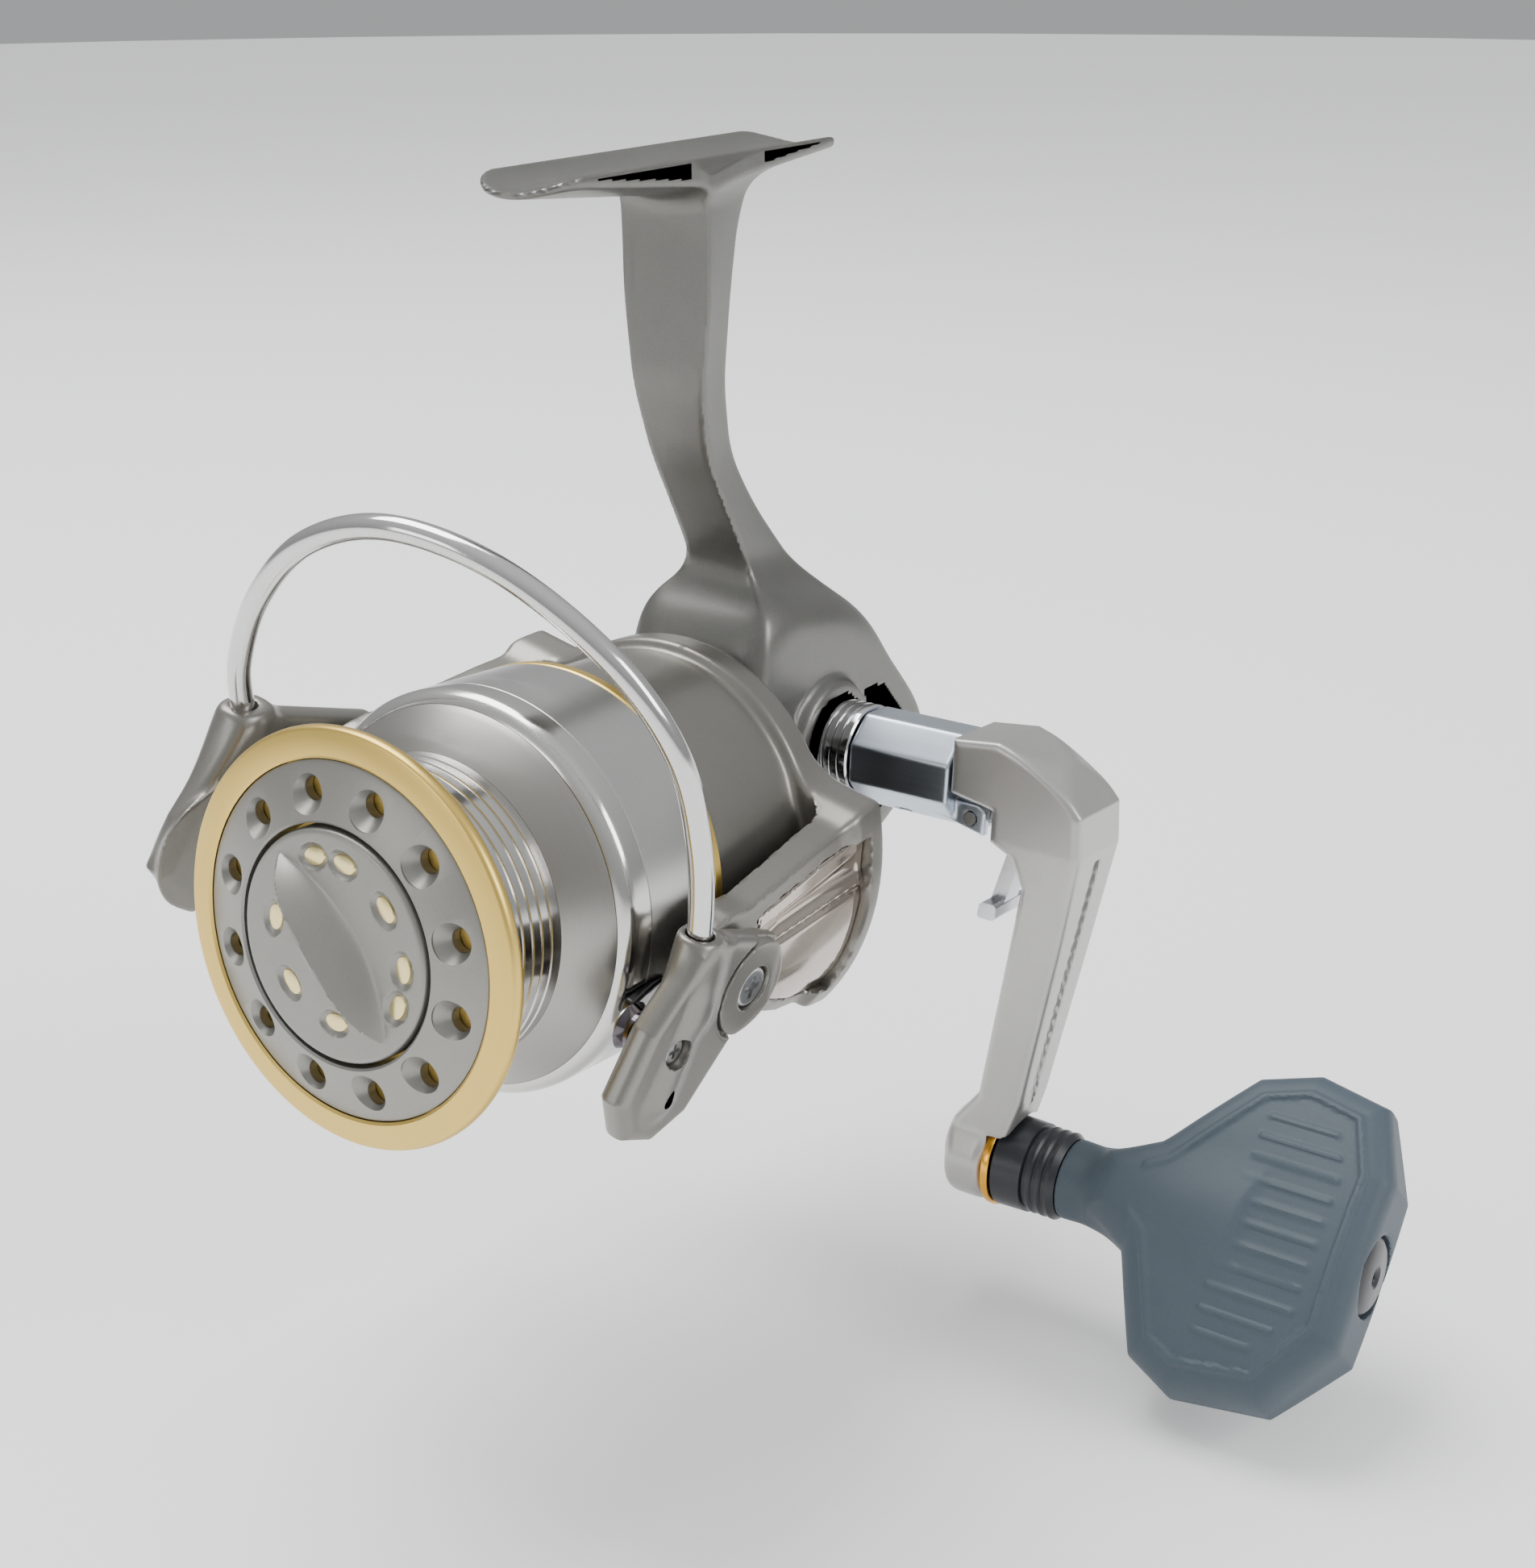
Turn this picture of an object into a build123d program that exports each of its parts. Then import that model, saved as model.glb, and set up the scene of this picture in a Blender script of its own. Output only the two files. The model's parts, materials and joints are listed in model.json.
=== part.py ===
"""Spinning reel: a foot and gear case, a rotor with its bail, a spool with a front drag, and a folding handle.

Everything is drawn about the spool axis: Y runs along it with the spool's face towards -Y, the crank shaft
runs along X with the handle at +X, and the foot is towards +Z.  The export then tips the reel so that its
foot lies level, with the lowest point of the saddle's middle at the origin.  Millimetres.
"""
import os
from math import pi

from build123d import *

# ---- driving dimensions -------------------------------------------------------------------------------
LIP_R = 27.0            # spool lip, outside radius
LIP_Y = -88.1           # plane of the lip's widest circle
STROKE = 14.0           # travel of the spool along its axis
FIT = 0.05              # radial clearance of a shaft in its bore
GAP = 0.3               # clearance between bodies that move past each other
SEAM = 0.1              # gap between two pieces that are screwed together

FOOT_L = 66.0           # foot, along the rod
FOOT_W = 15.1           # foot, across the rod
FOOT_PITCH = 4.92       # tilt of the spool axis against the rod, degrees
SADDLE_R = 15.2         # radius of the hollow that the rod lies in
SADDLE_Y = -27.5        # middle of the saddle in the spool's frame
SADDLE_Z = 91.0

CRANK_Z = 8.55          # crank axis above the spool axis
SHAFT_R = 1.9           # main shaft
DRIVE_R = 3.0           # drive shaft
GEAR_TEETH, PINION_TEETH = 45, 9
GEAR_R = 17.5           # drive gear, outside radius
PINION_R = 4.2          # pinion, outside radius
PINION_TUBE_R = 3.5
SMALL_TEETH, OSC_TEETH = 10, 21
SMALL_R = 4.9           # small pinion on the drive shaft, outside radius
OSC_R = 9.2             # stroke wheel, outside radius
OSC_X, OSC_Y, OSC_Z = 6.2, 13.1, 3.0
GUIDE_R, GUIDE_X, GUIDE_Z = 0.9, 2.3, -6.5
RATCHET_TEETH = 24
BEARING_R = 6.0         # drive shaft bearing, outside radius
NECK_BEARING_R = 9.0    # pinion bearing, outside radius
CLUTCH_R = 10.0         # one-way clutch, outside radius
CLUTCH_SCREWS = (3, 12.0)

CASE_X = 12.0           # half width of the gear case
COVER_SCREWS = [(-9.0, 26.0), (-14.0, -11.0), (21.5, 11.5)]
REVERSE_Y, REVERSE_Z = 8.0, -20.4
CAP_SCREW_Z = -5.0
WALL = 2.0
COVER_X = 4.0           # the handle-side cover starts here
COVER_TOP = 31.0
REAR_Y = 26.0           # the rear cap starts here

ROTOR_R = 25.0
ROTOR_FRONT, ROTOR_REAR = -50.5, -20.5
ROLL = 13.0             # turn of the rotor about the spool axis as it stands, degrees
ARM_IN, ARM_OUT = 29.4, 33.5
PIVOT_Y, PIVOT_Z = -55.0, 2.0
ARM_SCREW_Y = (-45.6, -25.4)
SPRING_X, SPRING_Z = 31.2, 5.0
LEVER_IN, LEVER_OUT = 34.0, 38.0
LEVER_WIRE_X, LEVER_WIRE_Y = 35.0, -66.1
HOLDER_WIRE_X, HOLDER_WIRE_Y = -36.6, -73.45
ROLLER_Y, ROLLER_Z = -70.0, -2.0
WIRE_R = 1.6

SKIRT_REAR = -47.0
SKIRT_R = 27.2
SKIRT_WALL = 1.3
ARBOR_R = 20.3
FACE_R = 22.9
HOLE_PCD, HOLE_COUNT = 38.6, 12
WEB_Y = -78.2           # floor of the drag's recess
SEAT_Y = -67.1          # seat that the spool's hub rests on
WASHERS, WASHER_PITCH = 5, 0.9
KNOB_R = 15.0
KNOB_FACE = -91.4
KNOB_FIN_TURN = -40.0   # turn of the knob's ridge as it stands, degrees
INLAY_NEAR = [(-38, 9.8), (-88, 9.6), (-139, 9.8)]      # turn from the ridge and distance from the axis
INLAY_FAR = [(24, 11.6), (50, 11.4), (89, 11.0), (130, 11.2), (155, 11.4)]

SLEEVE_X0, SLEEVE_X1 = 20.2, 36.6
SLEEVE_R = 7.2
FOLD_X, FOLD_Z = 39.2, 3.6
LATCH_X, LATCH_Z = 45.8, 2.6
HUB_Y, HUB_Z = 2.45, -49.7
HUB_R = 7.0
HUB_X0, HUB_X1 = 38.9, 45.3
GRIP_X0 = 57.2          # the rubber grip starts here
GRIP_TURN = 40.0        # turn of the knob about its axle as it stands, degrees
# -------------------------------------------------------------------------------------------------------

AXIS_X = Plane(origin=(0, 0, 0), x_dir=(0, 1, 0), z_dir=(1, 0, 0))
AXIS_Y = Plane(origin=(0, 0, 0), x_dir=(1, 0, 0), z_dir=(0, 1, 0))
PLACE = Pos(0, 0, 0) * Rot(-FOOT_PITCH, 0, 0) * Pos(0, -SADDLE_Y, -SADDLE_Z)
UNPLACE = Pos(0, SADDLE_Y, SADDLE_Z) * Rot(FOOT_PITCH, 0, 0)
ROLLED = Rot(0, ROLL, 0)
CRANK = Pos(0, 0, CRANK_Z)
KNOB = Pos(0, HUB_Y, HUB_Z)


def box(x0, x1, y0, y1, z0, z1):
    """A block between two corners."""
    return Pos((x0 + x1) / 2, (y0 + y1) / 2, (z0 + z1) / 2) * Box(x1 - x0, y1 - y0, z1 - z0)


def rod_y(radius, y0, y1, x=0.0, z=0.0):
    """A round bar along Y."""
    return Pos(x, (y0 + y1) / 2, z) * Rot(90, 0, 0) * Cylinder(radius, y1 - y0)


def rod_x(radius, x0, x1, y=0.0, z=0.0):
    """A round bar along X."""
    return Pos((x0 + x1) / 2, y, z) * Rot(0, 90, 0) * Cylinder(radius, x1 - x0)


def ring_y(outer, inner, y0, y1, x=0.0, z=0.0):
    """A tube along Y."""
    return rod_y(outer, y0, y1, x, z) - rod_y(inner, y0 - 1, y1 + 1, x, z)


def ring_x(outer, inner, x0, x1, y=0.0, z=0.0):
    """A tube along X."""
    return rod_x(outer, x0, x1, y, z) - rod_x(inner, x0 - 1, x1 + 1, y, z)


def turned_y(*points):
    """A solid turned about the Y axis from its (radius, y) outline."""
    return revolve(make_face(Polyline(*points, close=True)), Axis.Y)


def turned_x(*points):
    """A solid turned about the X axis from its (x, radius) outline."""
    return revolve(make_face(Polyline(*points, close=True)), Axis.X)


def slab_x(outline, x0, x1, corner=0.0):
    """A plate between two X planes, from its (y, z) outline, with its corners rounded."""
    face = make_face(Plane.YZ * Polyline(*outline, close=True))
    if corner:
        face = fillet(face.vertices(), corner)
    return Pos(x0, 0, 0) * extrude(face, amount=x1 - x0, dir=(1, 0, 0))


def slab_y(outline, y0, y1, corner=0.0):
    """A plate between two Y planes, from its (x, z) outline, with its corners rounded."""
    face = make_face(Plane.XZ * Polyline(*outline, close=True))
    if corner:
        face = fillet(face.vertices(), corner)
    return Pos(0, y0, 0) * extrude(face, amount=y1 - y0, dir=(0, 1, 0))


def around_y(count, radius, y, shape, start=0.0):
    """Copies of a shape, spread round the Y axis."""
    return [Rot(0, start + 360 * i / count, 0) * Pos(radius, y, 0) * shape for i in range(count)]


def screw(radius, head_r, head_h, length):
    """A cross-head screw along Z: its head is above the origin, its shank below."""
    head = Pos(0, 0, head_h / 2) * Cylinder(head_r, head_h)
    head = fillet(head.faces().sort_by(Axis.Z)[-1].edges(), head_h * 0.45)
    shank = Pos(0, 0, -length / 2) * Cylinder(radius, length)
    long, narrow = head_r * 1.1, head_r * 0.28
    slot = Pos(0, 0, head_h) * (Box(long, narrow, head_h) + Box(narrow, long, head_h))
    return head + shank - slot


def spur(teeth, outer, root, width, bore):
    """A toothed wheel along Z, centred on the origin."""
    body = Cylinder(root, width)
    chord = 2 * pi * outer / teeth
    face = make_face(Polyline((root - 0.3, -0.3 * chord), (outer, -0.16 * chord), (outer, 0.16 * chord),
                              (root - 0.3, 0.3 * chord), close=True))
    tooth = Pos(0, 0, -width / 2) * extrude(face, amount=width)
    body = body + [Rot(0, 0, 360 * i / teeth) * tooth for i in range(teeth)]
    return body - Cylinder(bore, 2 * width)


# ---- gear case, stem and foot -------------------------------------------------------------------------
CASE_LINE = [(-20.0, -17.0), (6.0, -17.0), (25.0, -10.0), (33.0, -2.5), (33.0, 8.0), (24.0, 17.0),
             (10.0, 29.0), (-14.0, 31.5), (-20.0, 24.0)]
STEM = [  # height, front, rear, half width at the front, half width at the rear
    (24.0, -12.5, 14.0, 7.4, 5.4), (30.0, -11.8, 7.5, 6.4, 4.6), (36.0, -12.6, 1.4, 5.5, 3.6),
    (44.0, -18.0, -6.6, 5.2, 3.0), (52.0, -23.3, -12.6, 5.2, 2.6), (62.0, -26.6, -15.0, 6.2, 2.6),
    (74.0, -27.6, -14.6, 7.4, 2.6), (84.0, -28.4, -13.4, 7.5, 2.6), (90.5, -29.5, -11.0, 7.4, 3.4)]


def stem_section(height, front, rear, half_front, half_rear):
    """One level section of the stem: broad in front, narrow behind."""
    outline = Polyline((-half_front, front), (half_front, front), (half_rear, rear), (-half_rear, rear),
                       close=True)
    return Pos(0, 0, height) * fillet(make_face(outline).vertices(), 1.6)


def foot():
    """The foot: a trough for the rod with thin rounded tips, a relief groove and grip marks."""
    half_l, half_w = FOOT_L / 2, FOOT_W / 2
    plan = extrude(fillet(make_face(Rectangle(FOOT_W, FOOT_L).wire()).vertices(), 6.8), amount=8, both=True)
    hollow = Pos(0, 0, SADDLE_R) * Rot(90, 0, 0) * Cylinder(SADDLE_R, FOOT_L + 2)
    cone_l = half_l + 1
    thick, thin = SADDLE_R + 3.6, SADDLE_R + 0.7
    outer = Pos(0, cone_l / 2, SADDLE_R) * Rot(-90, 0, 0) * Cone(thick, thin, cone_l)
    outer += Pos(0, -cone_l / 2, SADDLE_R) * Rot(90, 0, 0) * Cone(thick, thin, cone_l)
    top = box(-half_w, half_w, -half_l, half_l, -8, 2.0)
    groove = box(-0.5, 0.5, -half_l + 9.5, half_l - 10.0, -0.6, 2)
    marks = []
    for end in (-1, 1):
        for i in range(3):
            arc = Pos(0, end * (half_l - 2.6 - 2.2 * i), 0) * (Cylinder(4.2, 8) - Cylinder(3.8, 9))
            marks.append(arc & box(-3.0, 3.0, -half_l, half_l, -0.35, 4))
    ring = Pos(0, 0, SADDLE_R) * Rot(90, 0, 0) * Cylinder(SADDLE_R + 0.3, FOOT_L)
    marks = [mark & ring for mark in marks]
    return (outer & plan & top) - hollow - groove - marks


def case_solid():
    """Gear case, stem and foot as one outside shape, before it is hollowed."""
    case = slab_x(CASE_LINE, -CASE_X, CASE_X, 4.5)
    sides = case.faces().filter_by(Axis.X)
    case = fillet(sides.edges(), 3.5)
    stem = loft([stem_section(*row) for row in STEM])
    neck = rod_y(18.5, -21.5, -19) + rod_y(14.0, -36.0, -19)
    bosses = rod_x(9.6, -14.0, 14.0, 0, CRANK_Z)
    return case + stem + neck + bosses + UNPLACE * foot()


def case_hollow():
    """The room inside the gear case and its neck, and the bores through its walls."""
    inner = offset(make_face(Plane.YZ * Polyline(*CASE_LINE, close=True)), amount=-WALL - 0.4)
    room = Pos(-CASE_X + WALL, 0, 0) * extrude(inner, amount=2 * (CASE_X - WALL), dir=(1, 0, 0))
    room -= box(-20, 20, REAR_Y - 0.1 - WALL, 40, -30, 40)
    tail = Pos(-CASE_X + WALL + 2, 0, 0) * extrude(inner, amount=2 * (CASE_X - WALL - 2), dir=(1, 0, 0))
    tail &= box(-20, 20, REAR_Y + WALL, 40, -30, 40)
    clutch_taps = around_y(*CLUTCH_SCREWS, -35.0, Rot(90, 0, 0) * Cylinder(0.85, 4.4), 30)
    bores = rod_y(CLUTCH_R + SEAM, -40, -25.2) + rod_y(NECK_BEARING_R + SEAM, -25.3, -20.0)
    bores += rod_y(5.0, -21, -15)
    shaft_bores = rod_x(BEARING_R + SEAM, -15, 15, 0, CRANK_Z) + rod_x(7.1, -11.0, -9.6, 0, CRANK_Z)
    rods = [rod_y(GUIDE_R + 0.02, -19.4, REAR_Y - 0.3, x, GUIDE_Z) for x in (-GUIDE_X, GUIDE_X)]
    holes = [rod_x(1.1, COVER_X - 1, 15, y, z) + rod_x(2.6, 10.6, 15, y, z) for y, z in COVER_SCREWS]
    return room + tail + bores + shaft_bores + rods + holes + clutch_taps


def cover_zone(grow=0.0):
    """The part of the case that the handle-side cover takes up."""
    top = COVER_TOP + grow
    return slab_x([(-19.0 - grow, -25), (REAR_Y - SEAM, -25), (REAR_Y - SEAM, top - 3), (-19.0 - grow, top)],
                  COVER_X - grow, 20)


def frame_housing():
    """The casting: foot, stem, the far half of the case and the neck for the rotor."""
    (top_y, top_z), lower = COVER_SCREWS[0], COVER_SCREWS[1:]
    shape = case_solid() - case_hollow() - cover_zone(SEAM)
    shape -= box(-20, 20, REAR_Y, 40, -30, 40)
    bosses = [rod_x(2.6, -CASE_X + 1, COVER_X - SEAM, y, z) for y, z in lower]
    top_boss = rod_x(2.4, COVER_X - 4, COVER_X - SEAM, top_y, top_z)
    top_boss += box(COVER_X - 4, COVER_X - SEAM, top_y - 2, top_y + 2, top_z, top_z + 4)
    shape = shape + bosses + top_boss + reverse_ears()
    shape -= [rod_x(0.95, COVER_X - 5, COVER_X + 1, y, z) for y, z in COVER_SCREWS]
    return shape - rod_y(0.8, REAR_Y - WALL - 1, REAR_Y + 1, 0, CAP_SCREW_Z)


def reverse_ears():
    """The two ears under the case that hold the anti-reverse lever."""
    outline = [(4.4, -14.8), (11.6, -13.0), (REVERSE_Y + 2.4, -21.6), (REVERSE_Y - 2.2, -22.0)]
    ears = [slab_x(outline, x0, x0 + 1.2, 1.2) for x0 in (-3.9, 2.7)]
    return ears[0] + ears[1] - rod_x(1.0 + FIT, -6, 6, REVERSE_Y, REVERSE_Z)


def side_cover():
    """The handle-side half of the gear case, with the boss for the drive shaft."""
    shape = (case_solid() - case_hollow()) & cover_zone()
    stub = Pos(0, OSC_Y, OSC_Z) * (rod_x(1.5, 4.6, CASE_X - 1) + rod_x(2.6, 7.6, CASE_X - 1))
    return shape - rod_y(18.6, -30, -19) + stub


def rear_cap():
    """The moulded cap over the case's rear end."""
    shape = (case_solid() & box(-20, 20, REAR_Y + SEAM, 40, -30, 40)) - case_hollow()
    return shape - rod_y(1.1, 20, 40, 0, CAP_SCREW_Z) - rod_y(2.2, 30.6, 40, 0, CAP_SCREW_Z)


def left_shaft_cap():
    """The screw-in dust cap over the far end of the drive shaft."""
    cap = turned_x((-18.2, 0), (-18.2, 5.4), (-17.2, 7.6), (-15.6, 8.4), (-14.1, 8.4), (-14.1, 5.9),
                   (-12.2, 5.9), (-12.2, 4.6), (-16.6, 4.6), (-16.6, 0))
    slots = [Rot(360 * i / 10, 0, 0) * Pos(-15.4, 8.6, 0) * Box(2.6, 0.8, 1.2) for i in range(10)]
    coin = box(-19, -17.6, -4.0, 4.0, -0.7, 0.7)
    return CRANK * (cap - slots - coin)


def case_screws():
    """The screws of the handle-side cover, the clutch plate and the rear cap."""
    cover = [Pos(10.65, y, z) * Rot(0, 90, 0) * screw(0.9, 2.2, 1.3, 8.5) for y, z in COVER_SCREWS]
    clutch = around_y(*CLUTCH_SCREWS, -37.45, Rot(90, 0, 0) * screw(0.8, 1.5, 0.8, 1.3), 30)
    rear = Pos(0, 30.65, CAP_SCREW_Z) * Rot(-90, 0, 0) * screw(0.75, 1.9, 1.1, 6.2)
    return cover + clutch + [rear]


# ---- gear train ---------------------------------------------------------------------------------------
def drive_shaft():
    """The cross shaft that carries the drive gear, hollow for the handle's square."""
    shaft = rod_x(DRIVE_R, -12.0, 16.6) + rod_x(4.0, -6.1, -5.2)
    return CRANK * (shaft - rod_x(1.9, -4.4, 18.0))


def drive_gear():
    """The face gear: 45 teeth that stand towards the pinion."""
    blank = ring_x(GEAR_R, DRIVE_R + 0.02, -8.8, -6.2) - ring_x(12.0, 5.6, -7.4, -6.0)
    tip = GEAR_R - 0.1
    bar = make_face(Polyline((12.9, -0.30), (tip, -0.50), (tip, 0.50), (12.9, 0.30), close=True))
    tooth = Pos(-6.3, 0, 0) * (AXIS_X * extrude(bar, amount=1.7))
    teeth = [Rot(360 * i / GEAR_TEETH, 0, 0) * tooth for i in range(GEAR_TEETH)]
    holes = [Rot(60 * i, 0, 0) * rod_x(1.3, -10, -5, 9.2, 0) for i in range(6)]
    return CRANK * ((blank + teeth) - holes)


def pinion():
    """The brass pinion: nine teeth on a long tube that carries the rotor."""
    wheel = Pos(0, -12.4, 0) * Rot(90, 0, 0) * spur(PINION_TEETH, PINION_R, 3.1, 8.6, SHAFT_R + FIT)
    tube = ring_y(PINION_TUBE_R, SHAFT_R + FIT, -50.4, -16.0)
    flats = box(-4, -3.0, -50.5, -40.2, -4, 4) + box(3.0, 4, -50.5, -40.2, -4, 4)
    return wheel + (tube - flats)


def ring_bearing(outer, inner, width):
    """A shielded bearing along Z, as one closed ring with a groove in each face."""
    body = Cylinder(outer, width) - Cylinder(inner, width + 1)
    mid = (outer + inner) / 2
    groove = Cylinder(mid + 0.9, 0.5) - Cylinder(mid - 0.9, 1)
    return body - [Pos(0, 0, end * width / 2) * groove for end in (-1, 1)]


def pinion_bearing():
    """The bearing behind the rotor."""
    return Pos(0, -22.6, 0) * Rot(90, 0, 0) * ring_bearing(NECK_BEARING_R + FIT, PINION_TUBE_R + FIT, 4.6)


def drive_bearings():
    """The two bearings of the drive shaft."""
    ring = Rot(0, 90, 0) * ring_bearing(BEARING_R + FIT, DRIVE_R + FIT, 3.0)
    return [CRANK * Pos(x, 0, 0) * ring for x in (-10.5, 11.6)]


def roller_clutch():
    """The one-way clutch that stops the handle turning back."""
    body = ring_y(CLUTCH_R + FIT, PINION_TUBE_R + FIT, -35.6, -25.4)
    return body - ring_y(7.4, 5.2, -36, -34.6)


def clutch_plate():
    """The plate that holds the clutch in the neck."""
    plate = ring_y(13.8, 4.6, -37.4, -36.1)
    return plate - around_y(*CLUTCH_SCREWS, -36.8, Rot(90, 0, 0) * Cylinder(0.95, 3), 30)


def oscillation_pinion():
    """The small pinion on the drive shaft that drives the spool's stroke."""
    wheel = AXIS_X * spur(SMALL_TEETH, SMALL_R, 3.9, 2.2, DRIVE_R + 0.02)
    return CRANK * Pos(OSC_X, 0, 0) * wheel


def oscillation_gear():
    """The wheel whose crank pin moves the slider."""
    wheel = AXIS_X * spur(OSC_TEETH, OSC_R, 8.2, 2.2, 1.55)
    holes = [Rot(72 * i, 0, 0) * rod_x(1.5, -3, 3, 5.0, 0) for i in range(5)]
    pin = rod_x(1.2, -2.1, -1.0, -STROKE / 2, 0)
    return Pos(OSC_X, OSC_Y, OSC_Z) * (wheel - holes + pin)


def oscillation_slider():
    """The slider on the main shaft's rear end, with the slot for the crank pin and two guide bores."""
    mid = OSC_Y - STROKE / 2
    block = slab_x([(mid - 3, -8.1), (mid + 3, -8.1), (mid + 3, 4.6), (mid - 3, 4.6)], -3.8, 3.6, 1.2)
    block -= box(2.2, 4, mid - 1.4, mid + 1.4, -5.5, 3.4)
    block -= rod_y(SHAFT_R + 0.01, 0, 15)
    block -= [rod_y(GUIDE_R + FIT, 0, 15, x, GUIDE_Z) for x in (-GUIDE_X, GUIDE_X)]
    return block


def guide_rods():
    """The two rods that keep the slider from turning."""
    return [rod_y(GUIDE_R, -19.2, REAR_Y - 0.4, x, GUIDE_Z) for x in (-GUIDE_X, GUIDE_X)]


def main_shaft():
    """The shaft that carries the spool, threaded for the drag knob in front."""
    shaft = rod_y(SHAFT_R, -91.0, 9.4)
    thread = [ring_y(SHAFT_R + 0.5, SHAFT_R - 0.3, -90.8 + 0.8 * i, -90.4 + 0.8 * i) for i in range(8)]
    flats = box(-3, -1.55, -84.0, -79.0, -3, 3) + box(1.55, 3, -84.0, -79.0, -3, 3)
    return shaft - thread - flats


def anti_reverse_lever():
    """The small lever under the case that frees the handle to turn back, with its trunnions."""
    hub = rod_x(2.0, -2.4, 2.4) + rod_x(1.0, -4.0, 4.0)
    arm = slab_x([(-1.0, -1.4), (8.0, -3.0), (8.4, -0.8), (0.5, 1.6)], -2.0, 2.0, 0.6)
    grip = [Pos(0, 4.2 + 1.3 * i, -2.5 - 0.25 * i) * Rot(0, 90, 0) * Cylinder(0.45, 3.2) for i in range(3)]
    return Pos(0, REVERSE_Y, REVERSE_Z) * (hub + arm + grip)


# ---- rotor and bail -----------------------------------------------------------------------------------
def arm_zone(margin=0.0):
    """The side outline of a rotor arm, extruded across the whole rotor."""
    m = margin
    outline = [(ROTOR_REAR - m, -15.0 + m), (ROTOR_REAR - m, 15.0 - m), (-34.0, 12.8 - m),
               (PIVOT_Y, PIVOT_Z + 7.2 - m), (PIVOT_Y - 7.2 + m, PIVOT_Z), (PIVOT_Y, PIVOT_Z - 7.2 + m),
               (-34.0, -12.8 + m)]
    return slab_x(outline, 0, 60, 1.5) + rod_x(7.2 - m, 0, 60, PIVOT_Y, PIVOT_Z)


def arm_layer(inner, outer, margin=0.0):
    """A curved layer of a rotor arm between two radii."""
    return ring_y(outer, inner, PIVOT_Y - 12, ROTOR_REAR) & arm_zone(margin)


def rotor():
    """The rotor: a cup round the neck with a rear rim and the two arms that carry the bail."""
    drum = ring_y(ROTOR_R, ROTOR_R - 2.0, ROTOR_FRONT, ROTOR_REAR)
    web = ring_y(ROTOR_R - 1, PINION_TUBE_R + 0.02, -42.6, -39.8)
    web += ring_y(7.5, PINION_TUBE_R + 0.02, -45.4, -39.8)
    windows = around_y(6, 15.8, -41.2, Rot(90, 0, 0) * Cylinder(4.4, 6))
    rim = ring_y(26.4, ROTOR_R - 1, -26.0, ROTOR_REAR)
    body = drum + (web - windows) + rim
    for far_side in (False, True):
        arm = arm_layer(ARM_IN, ARM_OUT) + (ring_y(ARM_OUT, ROTOR_R - 1, -28.5, ROTOR_REAR) & arm_zone())
        arm -= arm_layer(ARM_IN + 1.3, ARM_OUT + 1, 2.2) & box(0, 60, -48.6, -22.4, -20, 20)
        arm -= rod_x(1.45, 0, 60, PIVOT_Y, PIVOT_Z)
        arm += [rod_x(1.9, ARM_IN + 0.1, ARM_OUT - 1.1, y, 0) for y in ARM_SCREW_Y]
        arm -= [rod_x(0.75, ARM_IN + 0.4, ARM_OUT + 1, y, 0) for y in ARM_SCREW_Y]
        body += mirrored(arm) if far_side else arm
    return ROLLED * body


def mirrored(shape):
    """The same piece on the other arm."""
    return mirror(shape, Plane.YZ)


def arm_cover():
    """The outer cover of a rotor arm."""
    plate = arm_layer(ARM_OUT - 1.0, ARM_OUT + 0.1, 2.35) & box(0, 60, -48.4, -22.6, -20, 20)
    plate -= [rod_x(0.85, 0, 60, y, 0) for y in ARM_SCREW_Y]
    return plate - [rod_x(1.6, ARM_OUT - 0.6, 60, y, 0) for y in ARM_SCREW_Y]


def right_arm_cover():
    """The cover over the bail spring."""
    return ROLLED * arm_cover()


def left_arm_cover():
    """The cover of the far arm."""
    return ROLLED * mirrored(arm_cover())


def arm_screws():
    """The four screws of the two arm covers."""
    one = Rot(0, 90, 0) * screw(0.7, 1.4, 0.6, 2.2)
    right = [Pos(ARM_OUT - 0.55, y, 0) * one for y in ARM_SCREW_Y]
    return [ROLLED * part for part in right + [mirrored(part) for part in right]]


def bail_spring():
    """The coil spring that snaps the bail open or shut, under the arm's cover."""
    helix = Helix(pitch=1.15, height=11.5, radius=0.42)
    coil = sweep(Plane(origin=helix @ 0, z_dir=helix % 0) * Circle(0.2), path=helix)
    return ROLLED * Pos(SPRING_X, -28.0, SPRING_Z) * Rot(90, 0, 0) * coil


def spring_guide():
    """The rod that guides the bail spring."""
    guide = rod_y(0.16, -42.0, -27.0) + rod_y(0.62, -41.6, -40.4)
    return ROLLED * Pos(SPRING_X, 0, SPRING_Z) * guide


def kick_lever():
    """The bent rod in the arm that a turn of the handle trips to shut the bail."""
    rod = rod_y(0.5, -44.0, -24.8) + Pos(0, -43.5, 0) * rod_z(0.5, 0, 2.6)
    return ROLLED * Pos(SPRING_X - 0.1, 0, -SPRING_Z - 0.5) * rod


def rod_z(radius, z0, z1):
    """A round bar along Z."""
    return Pos(0, 0, (z0 + z1) / 2) * Cylinder(radius, z1 - z0)


LEVER_LINE = [(PIVOT_Y + 4.6, PIVOT_Z + 5.6), (PIVOT_Y - 6.0, PIVOT_Z + 9.4), (-69.0, 11.0), (-77.0, 2.0),
              (-79.0, -7.5), (-73.5, -14.6), (-66.0, -14.8), (PIVOT_Y - 2.0, PIVOT_Z - 7.4),
              (PIVOT_Y + 5.4, PIVOT_Z - 4.2)]


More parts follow.
